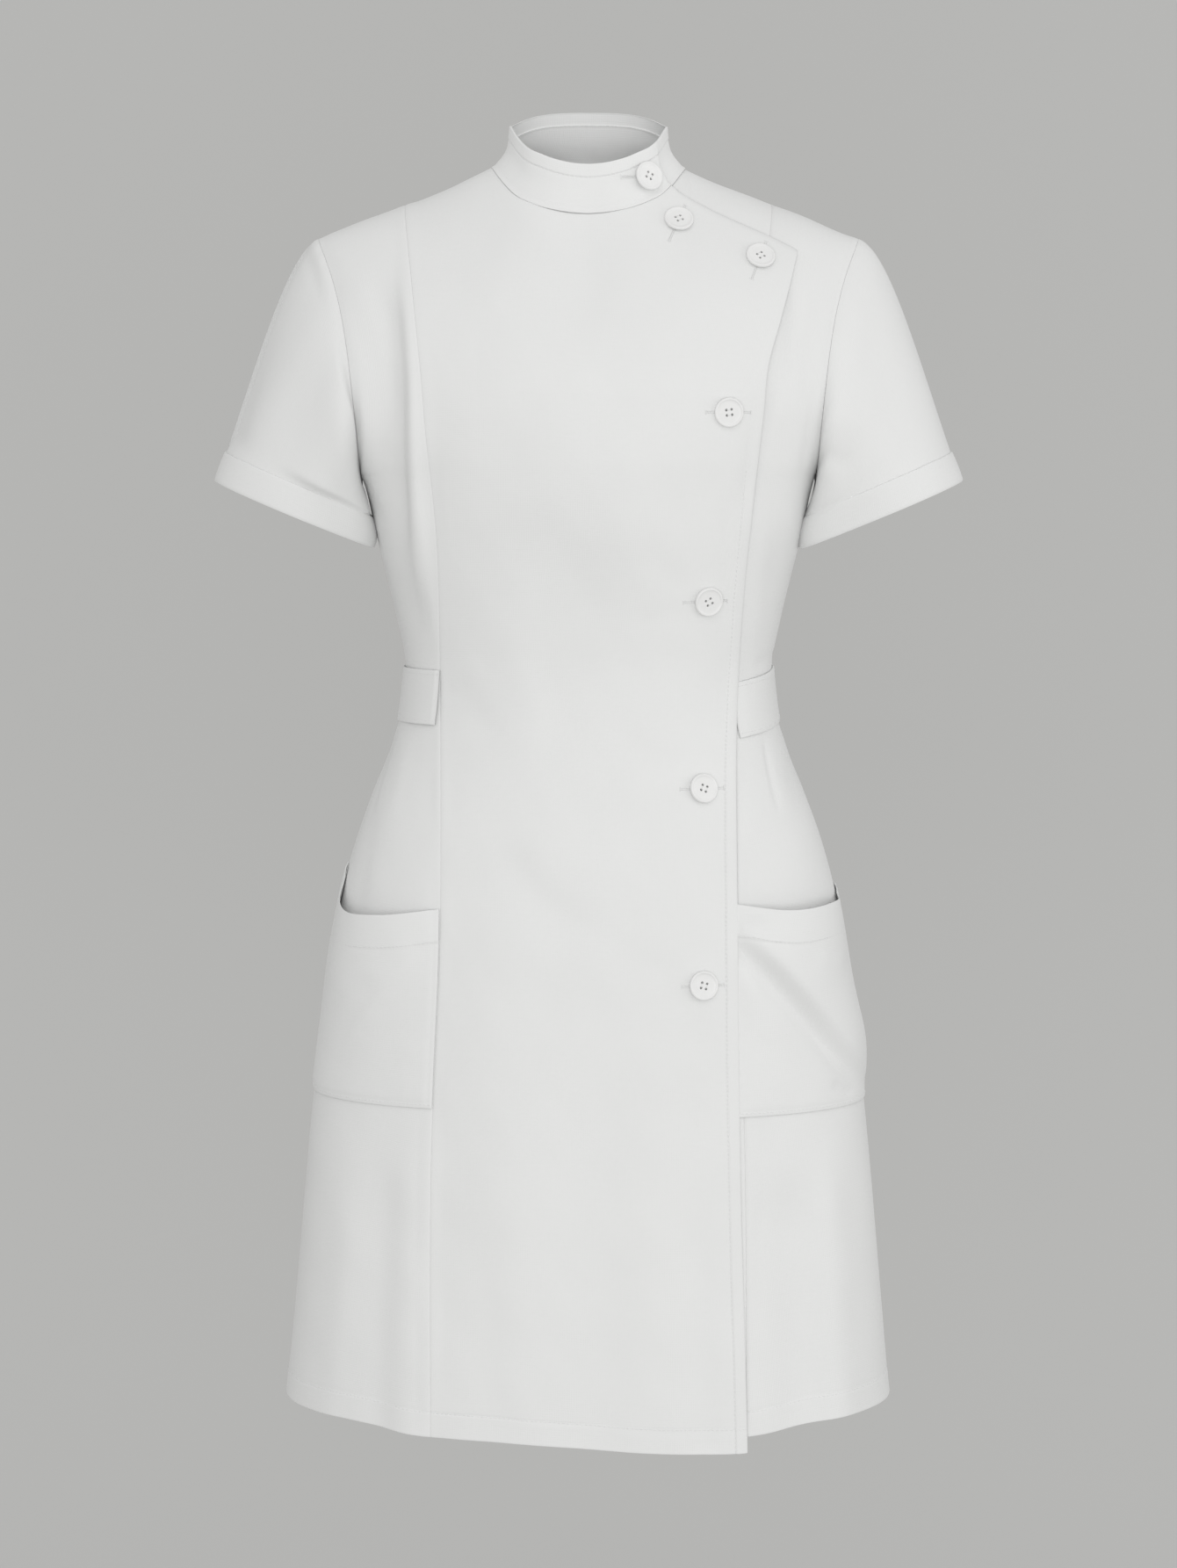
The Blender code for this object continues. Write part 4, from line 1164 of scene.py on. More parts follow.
def sleeve_run(hand, starts, turns):
    """Smooth run of every sleeve column from the armhole to the sleeve hem."""
    out = np.array((hand * math.cos(SLEEVE_ANGLE), 0, math.sin(SLEEVE_ANGLE)))
    down = np.array((hand * math.sin(SLEEVE_ANGLE), 0, -math.cos(SLEEVE_ANGLE)))
    centre = np.array(SLEEVE_HEM_CENTRE) * (hand, 1, 1)
    first = starts + (hand * SLEEVE_SEAM_STEP, 0, 0)
    turn = turns[:, None]
    radius = SLEEVE_HEM_RADIUS + SLEEVE_HANG[hand] * bell(turn - SLEEVE_HANG_TURN, SLEEVE_HANG_REACH)
    last = centre + radius * (np.cos(turn) * out - np.sin(turn) * np.array((0, 1, 0)))
    top = (1 + np.cos(turns)) / 2
    leave = unit(np.stack((hand * mix(0.12, 1, top), -0.45 * np.sin(turns), mix(-1, -0.35, top)), -1))
    length = np.linalg.norm(last - first, axis=1)[:, None]
    second = first + leave * length * mix(0.3, 0.14, top)[:, None]
    third = last - down * length * 0.32

    def at(t):
        t = np.asarray(t)[..., None]
        s = 1 - t
        return s**3 * first + 3 * s**2 * t * second + 3 * s * t**2 * third + t**3 * last

    return at


def shares_before_end(run, count, distance):
    """Where on each run the given distance is left to its end."""
    t = np.linspace(0, 1, 401)[:, None] * np.ones(count)
    points = run(t)
    steps = np.linalg.norm(np.diff(points, axis=0), axis=-1)
    left = np.cumsum(steps[::-1], axis=0)[::-1]
    index = (left >= distance).sum(axis=0) - 1
    return t[index, 0]


SLEEVE_STEPS = np.concatenate((np.array([0, 0.003, 0.007, 0.012, 0.02, 0.03]), np.linspace(0.045, 1, 46)))
CUFF_STEPS = np.array([0, 0.015, 0.035, 0.07, 0.15, 0.3, 0.45, 0.6, 0.75, 0.85, 0.93, 0.965, 0.985, 1])


def sleeve_grid(hand):
    """Grid of the sleeve, with the share of the way down for each row."""
    starts, turns = sleeve_columns(hand)
    run = sleeve_run(hand, starts, turns)
    cuffs = shares_before_end(run, len(turns), CUFF_WIDTH)
    upper = run(SLEEVE_STEPS[:, None] * cuffs)
    lower = run(mix(cuffs, 1.0, CUFF_STEPS[1:, None]))
    grid = np.concatenate((upper, lower))
    share = np.concatenate((SLEEVE_STEPS, np.ones(len(CUFF_STEPS) - 1)))
    return grid, turns, share


def outward(grid):
    normals = grid_normals(grid, tube=True)
    middle = grid.mean(axis=1, keepdims=True)
    flip = np.sign(((grid - middle) * normals).sum(axis=-1).mean())
    return normals * flip, flip


def sleeve_shape(hand, grid, turns, share):
    """Lift of the sleeve's cloth: folds, waves and ease at the sleeve head."""
    turn = np.degrees(turns)[None, :]
    along = share[:, None]
    total = np.zeros(grid.shape[:2])
    for fold in SLEEVE_FOLDS:
        if fold.hand != hand:
            continue
        t = np.clip((along - fold.share1) / (fold.share2 - fold.share1), 0, 1)
        centre = mix(fold.turn1, fold.turn2, t)
        away = np.radians(turn - centre) * SLEEVE_HEM_RADIUS
        past = (along - fold.share1) * 200
        fade = ease(past / 30) * ease((fold.share2 * 200 + 30 - along * 200) / 40)
        total += fold.height * bell(away, fold.reach) * fade
    around = np.sin(turns * 3 + 0.7)[None, :] * 0.35 + np.sin(turns * 7 + along * 4 + hand) * 0.18
    total += around * ease(along / 0.2)
    head = bell((turn + 180) % 360 - 180, 70)
    gathers = np.sin(turns * 34 + 1.5 * np.sin(turns * 5))[None, :]
    total += 0.16 * gathers * head * bell(along - 0.03, 0.04)
    return total


def armhole_strip(hand, grid, normals):
    """Seam allowance behind the armhole seam, reaching under both sides of it."""
    starts = sleeve_columns(hand)[0]
    facing = np.where(np.arange(len(starts)) * 2 < len(starts), FRONT, BACK)
    body = form_normals(facing, starts)
    along = unit(np.roll(starts, -1, 0) - np.roll(starts, 1, 0))
    inward = unit(np.cross(body, along))
    inward = inward * np.sign((inward * starts * (-1, 0, 0)).sum(-1, keepdims=True) + 1e-9)
    edge = unit(body + normals[0])
    depth = CLOTH + 0.15
    return np.stack((
        starts + inward * 4 - body * (depth + 1.2),
        starts + inward * 1.5 - body * (depth + 0.2),
        starts - edge * depth,
        grid[4] - normals[4] * depth,
        grid[6] - normals[6] * (depth + 0.3),
    ))


def build_sleeve(name, node, hand):
    """Set-in short sleeve."""
    grid, turns, share = sleeve_grid(hand)
    normals, flip = outward(grid)
    from_top = distances(grid, 0)[0]
    shape = sleeve_shape(hand, grid, turns, share) * ease((1.0 - share[:, None]) / 0.08)
    shape = shape + seam_edge(from_top, 0.15 * SEAM_DEPTH["seam"])
    outer = filled_out(grid + normals * shape[..., None])
    inner = outer - normals * CLOTH
    strip = filled_out(armhole_strip(hand, grid, normals))
    if flip < 0:
        outer, inner = outer[:, ::-1], inner[:, ::-1]
        strip = strip[:, ::-1]
    allowance = shell_parts(strip, strip - outward(strip)[0] * 0.4, True)
    return cloth_piece(name, node, outer, inner, tube=True, extra=[allowance])


def build_cuff(name, node, hand):
    """Turned-up band round the sleeve hem."""
    grid, turns, _ = sleeve_grid(hand)
    normals, flip = outward(grid)
    rows = len(CUFF_STEPS)
    grid, normals = grid[-rows:], normals[-rows:]
    from_top, from_hem = distances(grid, 0)
    shape = SEAM + 0.9 + 0.5 * np.sin(math.pi * CUFF_STEPS)[:, None]
    shape = shape + 0.25 * np.sin(turns * 5 + hand)[None, :] * CUFF_STEPS[:, None]
    shape = shape - 0.45 * bell(from_top, 0.6) - 0.5 * bell(from_hem, 0.8)
    shape = shape + 0.3 * pucker(turns[None, :] * SLEEVE_HEM_RADIUS, from_top, 1.5)
    outer = grid + normals * shape[..., None]
    inner = outer - normals * 0.8
    if flip < 0:
        outer, inner = outer[:, ::-1], inner[:, ::-1]
    return cloth_piece(name, node, outer, inner, tube=True)


def neck_edge(facing, x, lift):
    """Foot of the collar just above a panel's neck edge."""
    z = np.where(facing < 0, neck_or_ridge(FRONT)(x), neck_or_ridge(BACK)(x))
    points = form_points(facing, x, z)
    normals = form_normals(facing, points)
    inward = unit(points * (-1, -1, 0))
    rising = unit(inward - normals * (inward * normals).sum(-1, keepdims=True))
    return points + normals * np.asarray(lift)[..., None] + rising * NECK_STEP


def neck_spread(start, count, end):
    first = math.asin(start / NECK_HALF_WIDTH)
    last = math.asin(end / NECK_HALF_WIDTH)
    return NECK_HALF_WIDTH * np.sin(np.linspace(first, last, count + 1))


def collar_places():
    """Places round the neck from the hidden end round the back to the lapping end."""
    neck = NECK_HALF_WIDTH
    hidden = neck_spread(UNDERLAP_EDGE, 18, neck)
    back = neck_spread(neck, 54, -neck)[1:]
    front = neck_spread(-neck, 60, OVERLAP_NECK_END)[1:]
    end = front[-1] - (front[-1] - front[-2]) * np.array([0.75, 0.5, 0.25, 0.12])
    front = np.concatenate((front[:-1], end, front[-1:]))
    x = np.concatenate((hidden, back, front))
    facing = np.repeat((FRONT, BACK, FRONT), (len(hidden), len(back), len(front)))
    lapping = np.arange(len(x)) >= len(hidden) + len(back)
    lift = np.where(lapping, OVERLAP_LIFT * ease((x + 105) / 110), 0.0)
    return facing, x, lift, lapping


def collar_points(facing, x, lift, lapping, rise, distance):
    """Grid of the collar wall; distance moves it outwards from the outer face."""
    foot = neck_edge(facing, x, lift)
    middles = neck_edge(np.array([FRONT, BACK]), np.zeros(2), np.zeros(2))
    turn = np.abs(foot[:, 1]) / np.where(facing < 0, *np.abs(middles[:, 1]))
    full = np.where(facing < 0, COLLAR_RISE[FRONT], COLLAR_RISE[BACK])
    sweep = np.where(facing < 0, COLLAR_SWEEP[FRONT], COLLAR_SWEEP[BACK])
    height = mix(COLLAR_RISE["side"], full, ease(turn**sweep))
    lean = collar_lean(rise)[:, None]
    narrow = mix(1.0, COLLAR_TOP_SCALE, lean)
    shallow = mix(1.0, COLLAR_DEPTH_SCALE, lean)
    outwards = unit(foot * (1, 1, 0))
    lap = np.where(lapping, COLLAR_LAP * ease((x + 40) / 60), 0.0) * ease(rise / 0.3)[:, None]
    across = (np.asarray(distance) + lap)[..., None]
    wall = np.stack((foot[:, 0] * narrow, foot[:, 1] * shallow, foot[:, 2] + height * rise[:, None]), -1)
    return wall + outwards * across


def turned_out(outer, inner):
    """Faces round the neck or waist, with their columns so ordered that normals point out."""
    middle = outer.shape[1] // 2
    if (grid_normals(outer)[:, middle] * outer[:, middle] * (1, 1, 0)).sum() < 0:
        outer, inner = outer[:, ::-1], inner[:, ::-1]
    return outer, inner, grid_normals(outer)


def neck_strip(facing, x, lift, lapping):
    """Seam allowance inside the neck seam, below and above the collar's foot."""
    foot = neck_edge(facing, x, lift)
    normals = form_normals(facing, foot)
    inward = unit(foot * (-1, -1, 0))
    rising = unit(inward - normals * (inward * normals).sum(-1, keepdims=True))
    above = collar_points(facing, x, lift, lapping, np.array([0.09]), np.full((1, len(x)), -1.6))[0]
    rows = (
        foot - rising * 6 - normals * 1.6,
        foot - rising * 2 - normals * 0.9,
        foot - normals * 0.8,
        above,
    )
    outer = np.stack(rows)
    outer, _, out = turned_out(outer, outer)
    return shell_parts(outer, outer - out * 0.4)


def build_collar():
    """Stand collar in one band, lapping over itself at the front."""
    facing, x, lift, lapping = collar_places()
    rise = np.unique(np.concatenate((
        np.array([0, 0.008, 0.02, 0.04, 0.07]), np.linspace(0.1, 0.9, 24),
        1 - np.array([0.28, 0.265, 0.25, 0.24, 0.22, 0.07, 0.04, 0.02, 0.008, 0.0]))))
    grid = collar_points(facing, x, lift, lapping, rise, np.zeros((len(rise), len(x))))
    from_foot, from_top = distances(grid, 0)
    from_start, from_end = distances(grid, 1)
    shape = turned_edge(from_top, COLLAR_STITCH) * 0.8 + 0.55 * bell(from_foot, 1.8)
    shape = shape - 0.15 * bell(from_foot, 0.3) - 0.45 * bell(from_foot - 3.2, 1.2)
    shape = shape - 0.3 * bell(from_end, 0.6)
    shape = shape + pucker(from_start, from_top, COLLAR_STITCH)
    shape = shape + 0.22 * np.sin(from_start / 13 + 1.0) * np.sin(from_foot / 11)
    shape = shape + 0.12 * np.sin(from_start / 5.3)
    outer = collar_points(facing, x, lift, lapping, rise, shape)
    inner = collar_points(facing, x, lift, lapping, rise, shape - 1.1)
    outer, inner, normals = turned_out(outer, inner)
    from_top = distances(outer, 0)[1]
    sewing = [
        stitches(*line_across(outer, normals, from_top, COLLAR_STITCH + 0.3, 0)),
        stitches(*line_across(inner, -normals, from_top, COLLAR_STITCH + 0.3, 0)),
    ]
    strip = neck_strip(facing, x, lift, lapping)
    cloth_piece("collar_band", "collar", outer, inner, extra=[strip], sewing=sewing)


def belt_places():
    """Facing, angle and end drop along the half belt."""
    front_end = float(ring_angle(np.array(104.5 - TUCK), BELT_MIDDLE))
    start = float(ring_angle(np.array(105.0), BELT_MIDDLE))
    right = -np.linspace(start, math.pi / 2, 16)
    back = np.linspace(-math.pi / 2, math.pi / 2, 110)[1:]
    left = np.linspace(math.pi / 2, front_end, 26)[1:]
    angle = np.concatenate((right, back, left))
    facing = np.repeat((FRONT, BACK, FRONT), (len(right), len(back), len(left)))
    drop = (math.pi / 2 - left) / (math.pi / 2 - front_end)
    drop = np.concatenate((np.zeros(len(right) + len(back)), drop))
    return facing, angle, drop


def build_belt():
    """Half belt from the right princess seam round the back to the overlap's edge."""
    facing, angle, drop = belt_places()
    low = np.array([0, 0.01, 0.03, 0.06, 0.09, 0.12])
    part = np.concatenate((low, np.linspace(0.2, 0.8, 7), 1 - low[::-1]))
    z = mix(BELT_BOTTOM, BELT_TOP, part)[:, None] - BELT_END_DROP * drop[None, :]
    x = ring_x(angle[None, :], z)
    sides = np.broadcast_to(facing, z.shape)
    grid = form_points(sides, x, z)
    normals = form_normals(sides, grid)
    from_bottom, from_top = distances(grid, 0)
    from_start, from_end = distances(grid, 1)
    shape = LAP + 0.9 + 0.55 * np.sin(math.pi * part)[:, None]
    shape = shape + 0.45 * np.sin(from_start / 31 + 0.6) * np.sin(from_bottom / 17 + 0.4)
    shape = shape + 0.25 * np.sin(from_start / 9.7 + from_bottom / 14)
    for away in (from_bottom, from_top):
        shape = shape - 0.5 * bell(away, 0.7) - 0.15 * bell(away - 3.0, 0.7)
        shape = shape + pucker(from_start, away, 3.0)
    shape = mix(1.3, shape, ease((from_end - TUCK) / 7))
    outer = grid + normals * shape[..., None]
    inner = outer - normals * 0.9
    outer, inner, out = turned_out(outer, inner)
    from_bottom, from_top = distances(outer, 0)
    sewing = [stitches(*line_across(outer, out, away, 3.0, 0)) for away in (from_bottom, from_top)]
    cloth_piece("half_belt", "waist_belt", outer, inner, sewing=sewing)


def side_cloth_lift(x, z, hand):
    """Height of a side front's cloth, as its panel has it."""
    inner = np.abs(x) - princess_x(z)
    outer = (math.pi / 2 - np.abs(ring_angle(x, z))) * 90
    fade = ease((inner - 1) / 10) * ease((outer - 1) / 10)
    lift = fold_lift(hand * x, z, FOLDS[FRONT])
    lift = lift + fold_lift(hand * x, z, CREASES[FRONT]) * mix(0.35, 1.0, fade)
    return lift + drape(hand * x, z) * fade


def build_pocket(pocket):
    """Patch pocket that hangs a little open, with a turned mouth hem."""
    mouth = curve(POCKET_MOUTH[pocket.name], "across", "height")
    steps = EDGE_STEPS[:8]
    across = dense_shares(110, 2.2, left=steps, right=steps)
    top_steps = np.array([0, 0.3, 0.7, 1.2, 2, 3.5, 7, 12, 17, 20, 21.5, 22.5, 23.2, 24, 26])
    up = dense_shares(145, 2.2, left=steps, right=top_steps)
    z = mix(pocket.bottom, mouth(across)[None, :], up[:, None])
    inner_x = overlap_x(z) - TUCK if pocket.hand > 0 else princess_x(z) + 0.4
    low = ring_angle(inner_x, z)
    high = math.pi / 2 - 0.02
    x = ring_x(mix(low, high, across[None, :]), z)
    open_share = np.sin(math.pi * np.minimum(across / 0.88, 1))[None, :] ** 1.2 * up[:, None] ** 1.6
    grid = form_points(FRONT, pocket.hand * x, z)
    normals = form_normals(FRONT, grid)
    from_left, from_right = distances(grid, 1)
    from_bottom, from_mouth = distances(grid, 0)
    inside = ease(from_left / 7) * ease(from_right / 7) * ease(from_bottom / 7)
    crease = fold_lift(x, z, (POCKET_FOLD,)) * open_share
    crease = crease + fold_lift(x, z, POCKET_CREASES[pocket.name]) * mix(0.1, 1.0, inside)
    sewn = 0.3 + LAP * inside
    if pocket.hand > 0:
        sewn = np.where(from_left < 12, mix(0.35, sewn, ease((from_left - TUCK) / 9)), sewn)
    shape = side_cloth_lift(x, z, pocket.hand) + sewn + pocket.gape * open_share + crease
    hem_shown = 1 - 0.8 * ease((across[None, :] - 0.25) / 0.3)
    hem = 0.8 * turned_edge(from_mouth, POCKET_MOUTH_HEM) + pucker(x, from_mouth, POCKET_MOUTH_HEM)
    shape = shape + hem_shown * hem
    for away, along in ((from_left, z), (from_right, z), (from_bottom, x)):
        shape = shape + 0.25 * bell(away - 1.6, 1.0) - 0.15 * bell(away - 3.2, 0.6)
        shape = shape + pucker(along, away, 2.4)
    outer = grid + normals * (shape + CLOTH + 0.3)[..., None]
    inner = grid + normals * shape[..., None]
    if pocket.hand < 0:
        outer, inner = outer[:, ::-1], inner[:, ::-1]
    out = grid_normals(outer)
    from_left, from_right = distances(outer, 1)
    from_bottom, from_mouth = distances(outer, 0)
    shown = across < 0.55 if pocket.hand > 0 else across[::-1] < 0.55
    sewing = [
        stitches(*line_across(outer[:, shown], out[:, shown], from_mouth[:, shown], POCKET_MOUTH_HEM, 0)),
        stitches(*line_across(outer, out, from_bottom, 2.4, 0)),
    ]
    name = "patch_pocket_" + ("left" if pocket.hand > 0 else "right")
    cloth_piece(name, pocket.name, outer, inner, sewing=sewing)


ButtonRing = namedtuple("ButtonRing", "radius height")
BUTTON_PROFILE = table(ButtonRing, (
    (8.6, 0.0), (9.5, 0.3), (10.1, 0.9), (10.3, 1.6), (10.25, 2.4),
    (10.0, 2.9), (9.6, 3.12), (9.2, 3.15), (8.8, 3.0), (8.5, 2.75),
    (8.1, 2.6), (6.6, 2.5), (4.0, 2.45), (0.6, 2.45),
))


HoleCut = namedtuple("HoleCut", "low_radius high_radius depth height")
HOLE_CUTS = table(HoleCut, ((1, 1, 20, 0), (0.95, 1.6, 0.6, 2.4)))


def linked_object(name, shape):
    """Object in the scene from a bmesh."""
    data = bpy.data.meshes.new(name)
    shape.to_mesh(data)
    shape.free()
    thing = bpy.data.objects.new(name, data)
    bpy.context.collection.objects.link(thing)
    return thing


def build_button_mesh():
    """Four-hole button with a raised rim and a dished face, standing on its back."""
    sides = 72
    shape = bmesh.new()
    rings = []
    for ring in BUTTON_PROFILE:
        rings.append([])
        for i in range(sides):
            turn = 2 * math.pi * i / sides
            point = Vector((ring.radius * math.cos(turn), ring.radius * math.sin(turn), ring.height))
            rings[-1].append(shape.verts.new(point * MM))
    for low, high in zip(rings, rings[1:]):
        for i in range(sides):
            j = (i + 1) % sides
            shape.faces.new((low[i], low[j], high[j], high[i]))
    shape.faces.new(rings[0][::-1])
    shape.faces.new(rings[-1])
    body = linked_object("button_body", shape)

    shape = bmesh.new()
    for i in range(4):
        turn = math.pi / 4 + math.pi / 2 * i
        offset = Vector((math.cos(turn), math.sin(turn), 0)) * HOLE_SPACING * MM
        for row in HOLE_CUTS:
            cone = bmesh.ops.create_cone(
                shape, cap_ends=True, segments=20, depth=row.depth * MM,
                radius1=HOLE_RADIUS * MM * row.low_radius, radius2=HOLE_RADIUS * MM * row.high_radius)
            bmesh.ops.translate(shape, verts=cone["verts"], vec=offset + Vector((0, 0, row.height * MM)))
    cutter = linked_object("button_cutters", shape)
    cut = body.modifiers.new("thread_holes", "BOOLEAN")
    cut.operation = "DIFFERENCE"
    cut.solver = "EXACT"
    cut.use_self = True
    cut.object = cutter
    finished = bpy.data.meshes.new_from_object(body.evaluated_get(bpy.context.evaluated_depsgraph_get()))
    bpy.data.objects.remove(body, do_unlink=True)
    bpy.data.objects.remove(cutter, do_unlink=True)
    finished.name = "button_shape"
    finished.shade_smooth()
    finished.set_sharp_from_angle(angle=math.radians(38))
    finished.materials.clear()
    finished.materials.append(PLASTIC)
    return finished


def thread_bar(start, end, height, radius):
    """One strand over the button between two holes, and down into both."""
    parts = np.array([0, 0.06, 0.2, 0.5, 0.8, 0.94, 1.0])
    lifts = np.array([-1.6, -0.4, 0.06, 0.18, 0.06, -0.4, -1.6])
    centre = mix(np.array(start)[None, :], np.array(end)[None, :], parts[:, None])
    centre = np.column_stack((centre, height + lifts))
    return tube_parts(centre, radius, 6)


def tube_parts(centre, radius, sides):
    """Closed tube round a run of points."""
    along = unit(np.gradient(centre, axis=0))
    guide = np.array((0.0, 0.0, 1.0)) if abs(along[len(along) // 2][2]) < 0.9 else np.array((1.0, 0.0, 0.0))
    side = unit(np.cross(along, guide))
    up = unit(np.cross(side, along))
    turns = np.linspace(0, 2 * math.pi, sides, endpoint=False)
    ring = np.cos(turns)[None, :, None] * side[:, None] + np.sin(turns)[None, :, None] * up[:, None]
    points = (centre[:, None] + ring * np.broadcast_to(radius, len(centre))[:, None, None]).reshape(-1, 3)
    faces = grid_faces(len(centre), sides, True, 0, False)
    faces.append(tuple(range(sides))[::-1])
    faces.append(tuple(range(len(points) - sides, len(points))))
    return points, faces, points[:, :2] * MM


def button_thread():
    """Sewing thread over the four holes and round the short shank below."""
    place = HOLE_SPACING / math.sqrt(2)
    parts = []
    for y in (-place, place):
        for shift in (-0.2, 0.2):
            parts.append(thread_bar((-place + 0.35, y + shift), (place - 0.35, y - shift * 0.5), 2.45, 0.16))
    turns = np.linspace(0, 2 * math.pi * 4, 90)
    shank = np.column_stack((1.3 * np.cos(turns), 1.3 * np.sin(turns), mix(-1.0, 0.1, turns / turns[-1])))
    parts.append(tube_parts(shank, 0.2, 6))
    return join_parts(parts)


def cloth_place(grid, outer, normals, x, z):
    """Point and outward direction of the outer cloth nearest to a place."""
    away = (grid[..., 0] - x) ** 2 + (grid[..., 2] - z) ** 2
    row, column = np.unravel_index(np.argmin(away), away.shape)
    area = (slice(max(row - 2, 0), row + 3), slice(max(column - 2, 0), column + 3))
    weight = np.exp(-away[area] / 9.0)[..., None]
    point, found, normal = ((part[area] * weight).sum((0, 1)) for part in (outer, grid, normals))
    normal = unit(normal)
    shift = (np.array((x, 0, z)) - found / weight.sum()) * (1, 0, 1)
    return point / weight.sum() + shift - normal * (shift @ normal), normal


def frame_on(normal):
    """Across and up directions on the cloth."""
    across = unit(np.cross(np.array((0.0, 0.0, 1.0)), normal))
    if across[0] < 0:
        across = -across
    up = unit(np.cross(normal, across)) * np.sign(np.cross(normal, across)[2])
    return across, up


def strand(point_at, direction, places, lift, radius, sides):
    """Thread through places on the cloth, given as distances along and across."""
    side = (-direction[1], direction[0])
    centre = []
    for along, across in places:
        x = direction[0] * along + side[0] * across
        z = direction[1] * along + side[1] * across
        point, normal = point_at(x, z)
        centre.append(point + normal * lift)
    return tube_parts(np.array(centre), radius, sides)


def buttonhole(point_at, button):
    """Satin-stitched slit that peeps out on both sides of a button."""
    angle = math.radians(button.hole_angle)
    direction = (math.cos(angle), math.sin(angle))
    ends = (button.hole_start, button.hole_end)
    spots = np.linspace(*ends, int((ends[1] - ends[0]) / 0.28))
    lanes = []
    for offset in (-0.55, 0.55):
        places = [(spot, offset + 0.22 * (-1) ** k) for k, spot in enumerate(spots)]
        lanes.append(strand(point_at, direction, places, 0.1, 0.14, 5))
    for spot in ends:
        places = [(spot, sway) for sway in np.linspace(-1.5, 1.5, 7)]
        lanes.append(strand(point_at, direction, places, 0.16, 0.3, 6))
    return join_parts(lanes)


def build_buttons(front):
    """Seven buttons with their thread and buttonholes."""
    grid, outer, normals = front
    shape = build_button_mesh()
    thread_points, thread_faces, thread_flat = button_thread()
    for button in BUTTONS:
        if button.name == "button_1":
            point, normal = collar_button_place()
            gap = COLLAR_BUTTON_GAP
        else:
            point, normal = cloth_place(grid, outer, normals, button.x, button.z)
            gap = BUTTON_GAP
        across, up = frame_on(normal)
        tilt = unit(normal + across * math.sin(math.radians(button.tilt_across))
                    + up * math.sin(math.radians(button.tilt_up)))
        across, up = frame_on(tilt)
        turn = math.radians(button.turn)
        first = math.cos(turn) * across + math.sin(turn) * up
        second = np.cross(tilt, first)
        axes = Matrix((first, second, tilt)).transposed().to_4x4()
        place = Matrix.Translation(Vector(point + normal * gap) * MM) @ axes
        piece = bpy.data.objects.new("face_" + button.name, shape.copy())
        bpy.context.collection.objects.link(piece)
        piece.data.transform(place)
        place_piece(piece, "white_button", button.name)
        thread = build_mesh("thread_" + button.name, thread_points, thread_faces, THREAD, thread_flat)
        thread.data.transform(place)
        place_piece(thread, "white_poplin")

        if button.name == "button_1":
            def point_at(x, z, middle=point, out=normal, right=across, top=up):
                return middle + right * x + top * z - out * 0.004 * x * x, out
        else:
            def point_at(x, z, here=button):
                return cloth_place(grid, outer, normals, here.x + x, here.z + z)
        points, faces, flat = buttonhole(point_at, button)
        hole = build_mesh("buttonhole_" + button.name[-1], points, faces, THREAD, flat)
        place_piece(hole, "white_poplin")


def collar_button_place():
    """Place of the top button, on the lapping end of the collar."""
    facing = np.full(3, FRONT)
    x = COLLAR_BUTTON_X + np.array((-5.0, 0.0, 5.0))
    lift = OVERLAP_LIFT * ease((x + 105) / 110)
    rise = COLLAR_BUTTON_RISE + np.array((-0.1, 0.0, 0.1))
    wall = collar_points(facing, x, lift, np.full(3, True), rise, np.zeros((3, 3)))
    normal = unit(np.cross(wall[1, 2] - wall[1, 0], wall[2, 1] - wall[0, 1]))
    if normal[1] > 0:
        normal = -normal
    return wall[1, 1], normal


def stage_material():
    """Even pale grey; a view from behind looks through the backdrop's open back."""
    material, tree = new_material("pale_stage")
    shader = tree.nodes["Principled BSDF"]
    cloud = noise(tree, add_node(tree, "TexCoord", "Object", {}), 0.8, 2.0)
    fill(tree, shader, {
        "Base Color": mixed_colour(tree, (0.26, 0.26, 0.257, 1), (0.27, 0.27, 0.266, 1), cloud),
        "Roughness": 0.95,
        "Specular IOR Level": 0.1,
        "Emission Color": (0.462, 0.462, 0.452, 1),
        "Emission Strength": 0.58,
    })
    behind = add_node(tree, "NewGeometry", "Backfacing", {})
    clear = add_node(tree, "BsdfTransparent", 0, {})
    surface = add_node(tree, "MixShader", 0, {0: behind, 1: shader.outputs[0], 2: clear})
    fill(tree, tree.nodes["Material Output"], {"Surface": surface})
    return material


def build_stage():
    """Pale seamless floor and backdrop."""
    profile = [(-STAGE_REACH, STAGE_FLOOR)]
    for i in range(17):
        turn = math.pi / 2 * i / 16
        y = STAGE_BACK - STAGE_BEND + STAGE_BEND * math.sin(turn)
        profile.append((y, STAGE_FLOOR + STAGE_BEND * (1 - math.cos(turn))))
    profile.append((STAGE_BACK, STAGE_TOP))
    points = [(x / MM, y / MM, z / MM) for x in (-STAGE_REACH, STAGE_REACH) for y, z in profile]
    count = len(profile)
    faces = [(i, count + i, count + i + 1, i + 1) for i in range(count - 1)]
    build_mesh("stage", points, faces, stage_material())


Light = namedtuple("Light", "name x y z power")
LIGHTS = table(Light, (
    ("front", 0.0, -3.4, -0.4, 29.2),
    ("right", 3.0, -0.9, -0.3, 10.6),
    ("top", 0.6, -2.0, 1.9, 6.2),
))
LIGHT_SIZE = 1.8
LIGHT_AIM = (0, 0, -0.45)

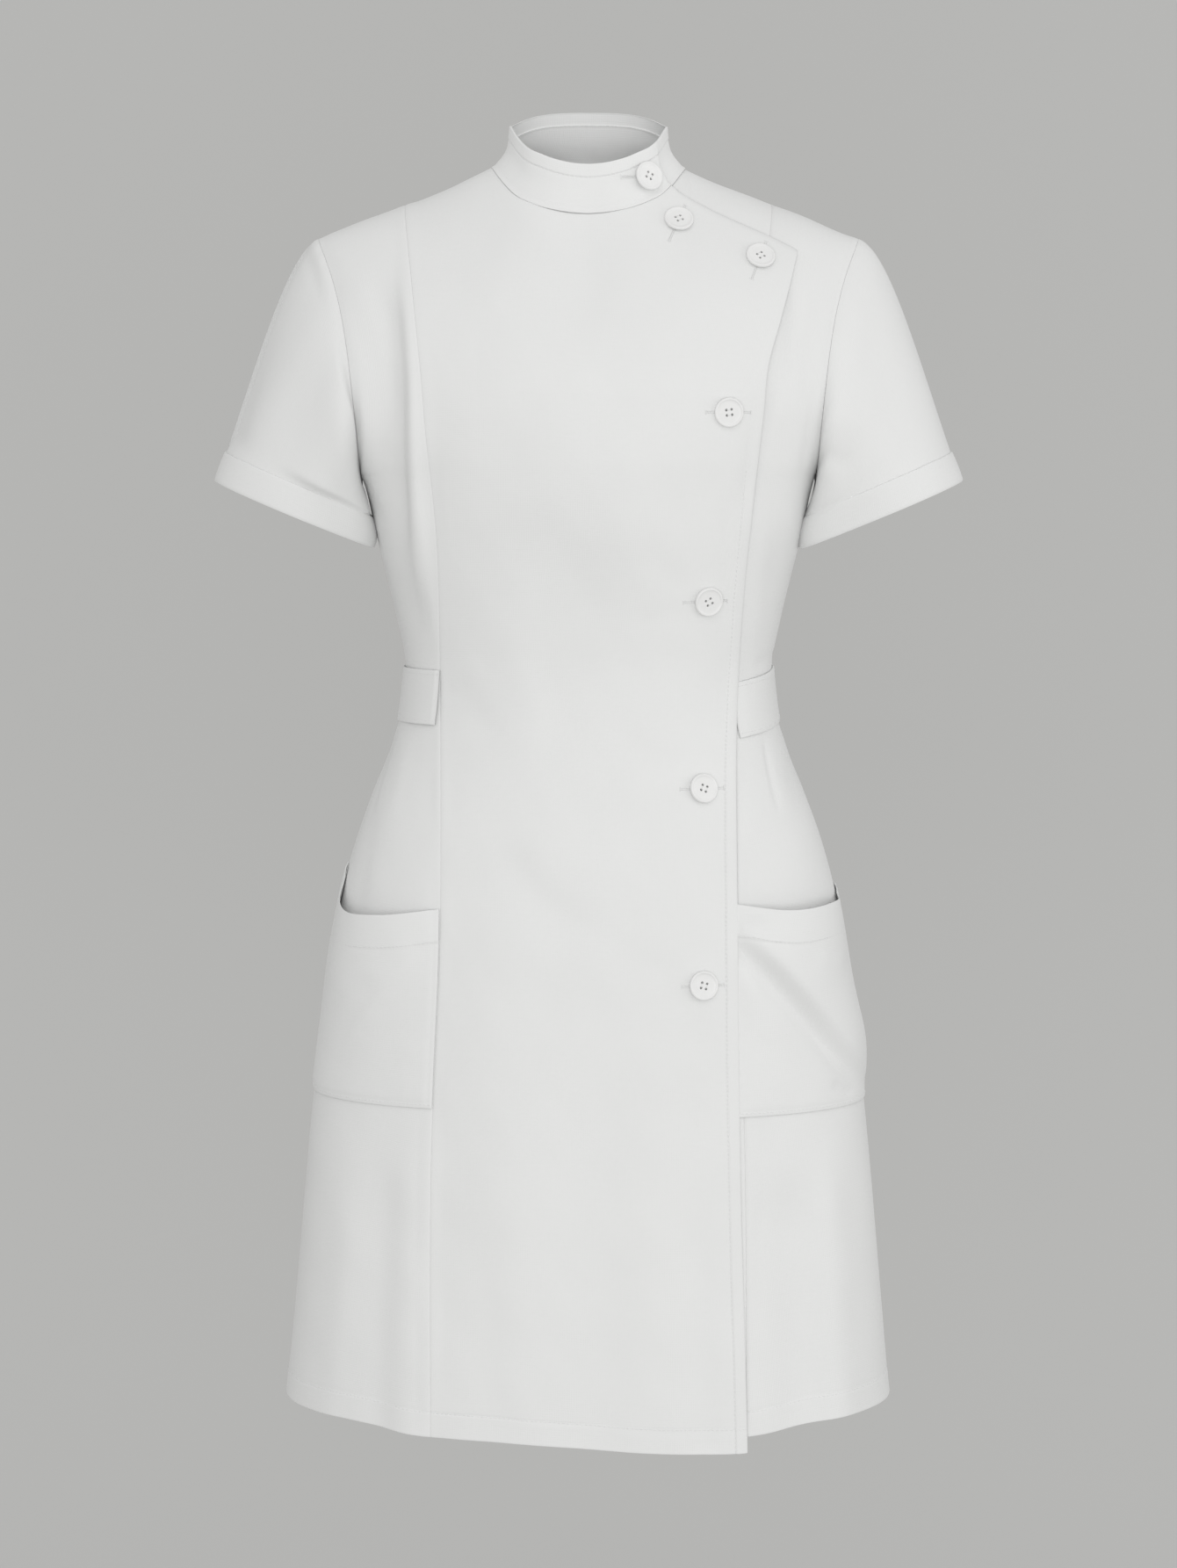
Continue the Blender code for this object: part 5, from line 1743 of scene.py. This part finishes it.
# A narrow spot lifts the inside of the collar
NECK_LIGHT = Light("neck", 0.0, -0.75, 0.85, 7.0)
NECK_AIM = (0, 0.05, -0.02)
NECK_SPREAD = math.radians(8.5)


def add_light(row, kind, aim, **settings):
    data = bpy.data.lights.new(row.name, kind)
    data.energy = row.power
    for name, value in settings.items():
        setattr(data, name, value)
    light = bpy.data.objects.new(row.name, data)
    light.location = (row.x, row.y, row.z)
    light.rotation_euler = (Vector(aim) - light.location).to_track_quat("-Z", "Y").to_euler()
    bpy.context.collection.objects.link(light)


def build_lights():
    """Large soft lights, the strongest from the front, and an even room light."""
    for row in LIGHTS:
        add_light(row, "AREA", LIGHT_AIM, shape="RECTANGLE", size=LIGHT_SIZE, size_y=LIGHT_SIZE)
    add_light(NECK_LIGHT, "SPOT", NECK_AIM, spot_size=NECK_SPREAD, spot_blend=1.0, shadow_soft_size=0.06)
    scene = bpy.context.scene
    scene.world = bpy.data.worlds.new("soft_room")
    scene.world.use_nodes = True
    background = scene.world.node_tree.nodes["Background"]
    fill(scene.world.node_tree, background, {"Color": (1.0, 0.998, 0.992, 1), "Strength": 0.678})
    scene.view_settings.view_transform = "Standard"
    scene.view_settings.look = "None"


def build_camera():
    data = bpy.data.cameras.new("camera")
    data.sensor_fit = "AUTO"
    data.sensor_width = 36.0
    data.lens = CAMERA_LENS
    data.clip_end = 30
    camera = bpy.data.objects.new("camera", data)
    camera.location = CAMERA_PLACE
    camera.rotation_euler = (math.pi / 2 - CAMERA_TILT, 0, 0)
    bpy.context.collection.objects.link(camera)
    bpy.context.scene.camera = camera


build_camera()
build_lights()
build_stage()
build_collar()
front = build_front_overlap()
build_front_underlap()
build_front_side("side_front_left", "front_side_left", 1)
build_front_side("side_front_right", "front_side_right", -1)
build_back()
for side_name, hand in (("left", 1), ("right", -1)):
    build_sleeve("sleeve_cloth_" + side_name, "sleeve_" + side_name, hand)
    build_cuff("cuff_band_" + side_name, "cuff_" + side_name, hand)
build_belt()
for pocket in POCKETS:
    build_pocket(pocket)
build_buttons(front)

bpy.context.view_layer.update()
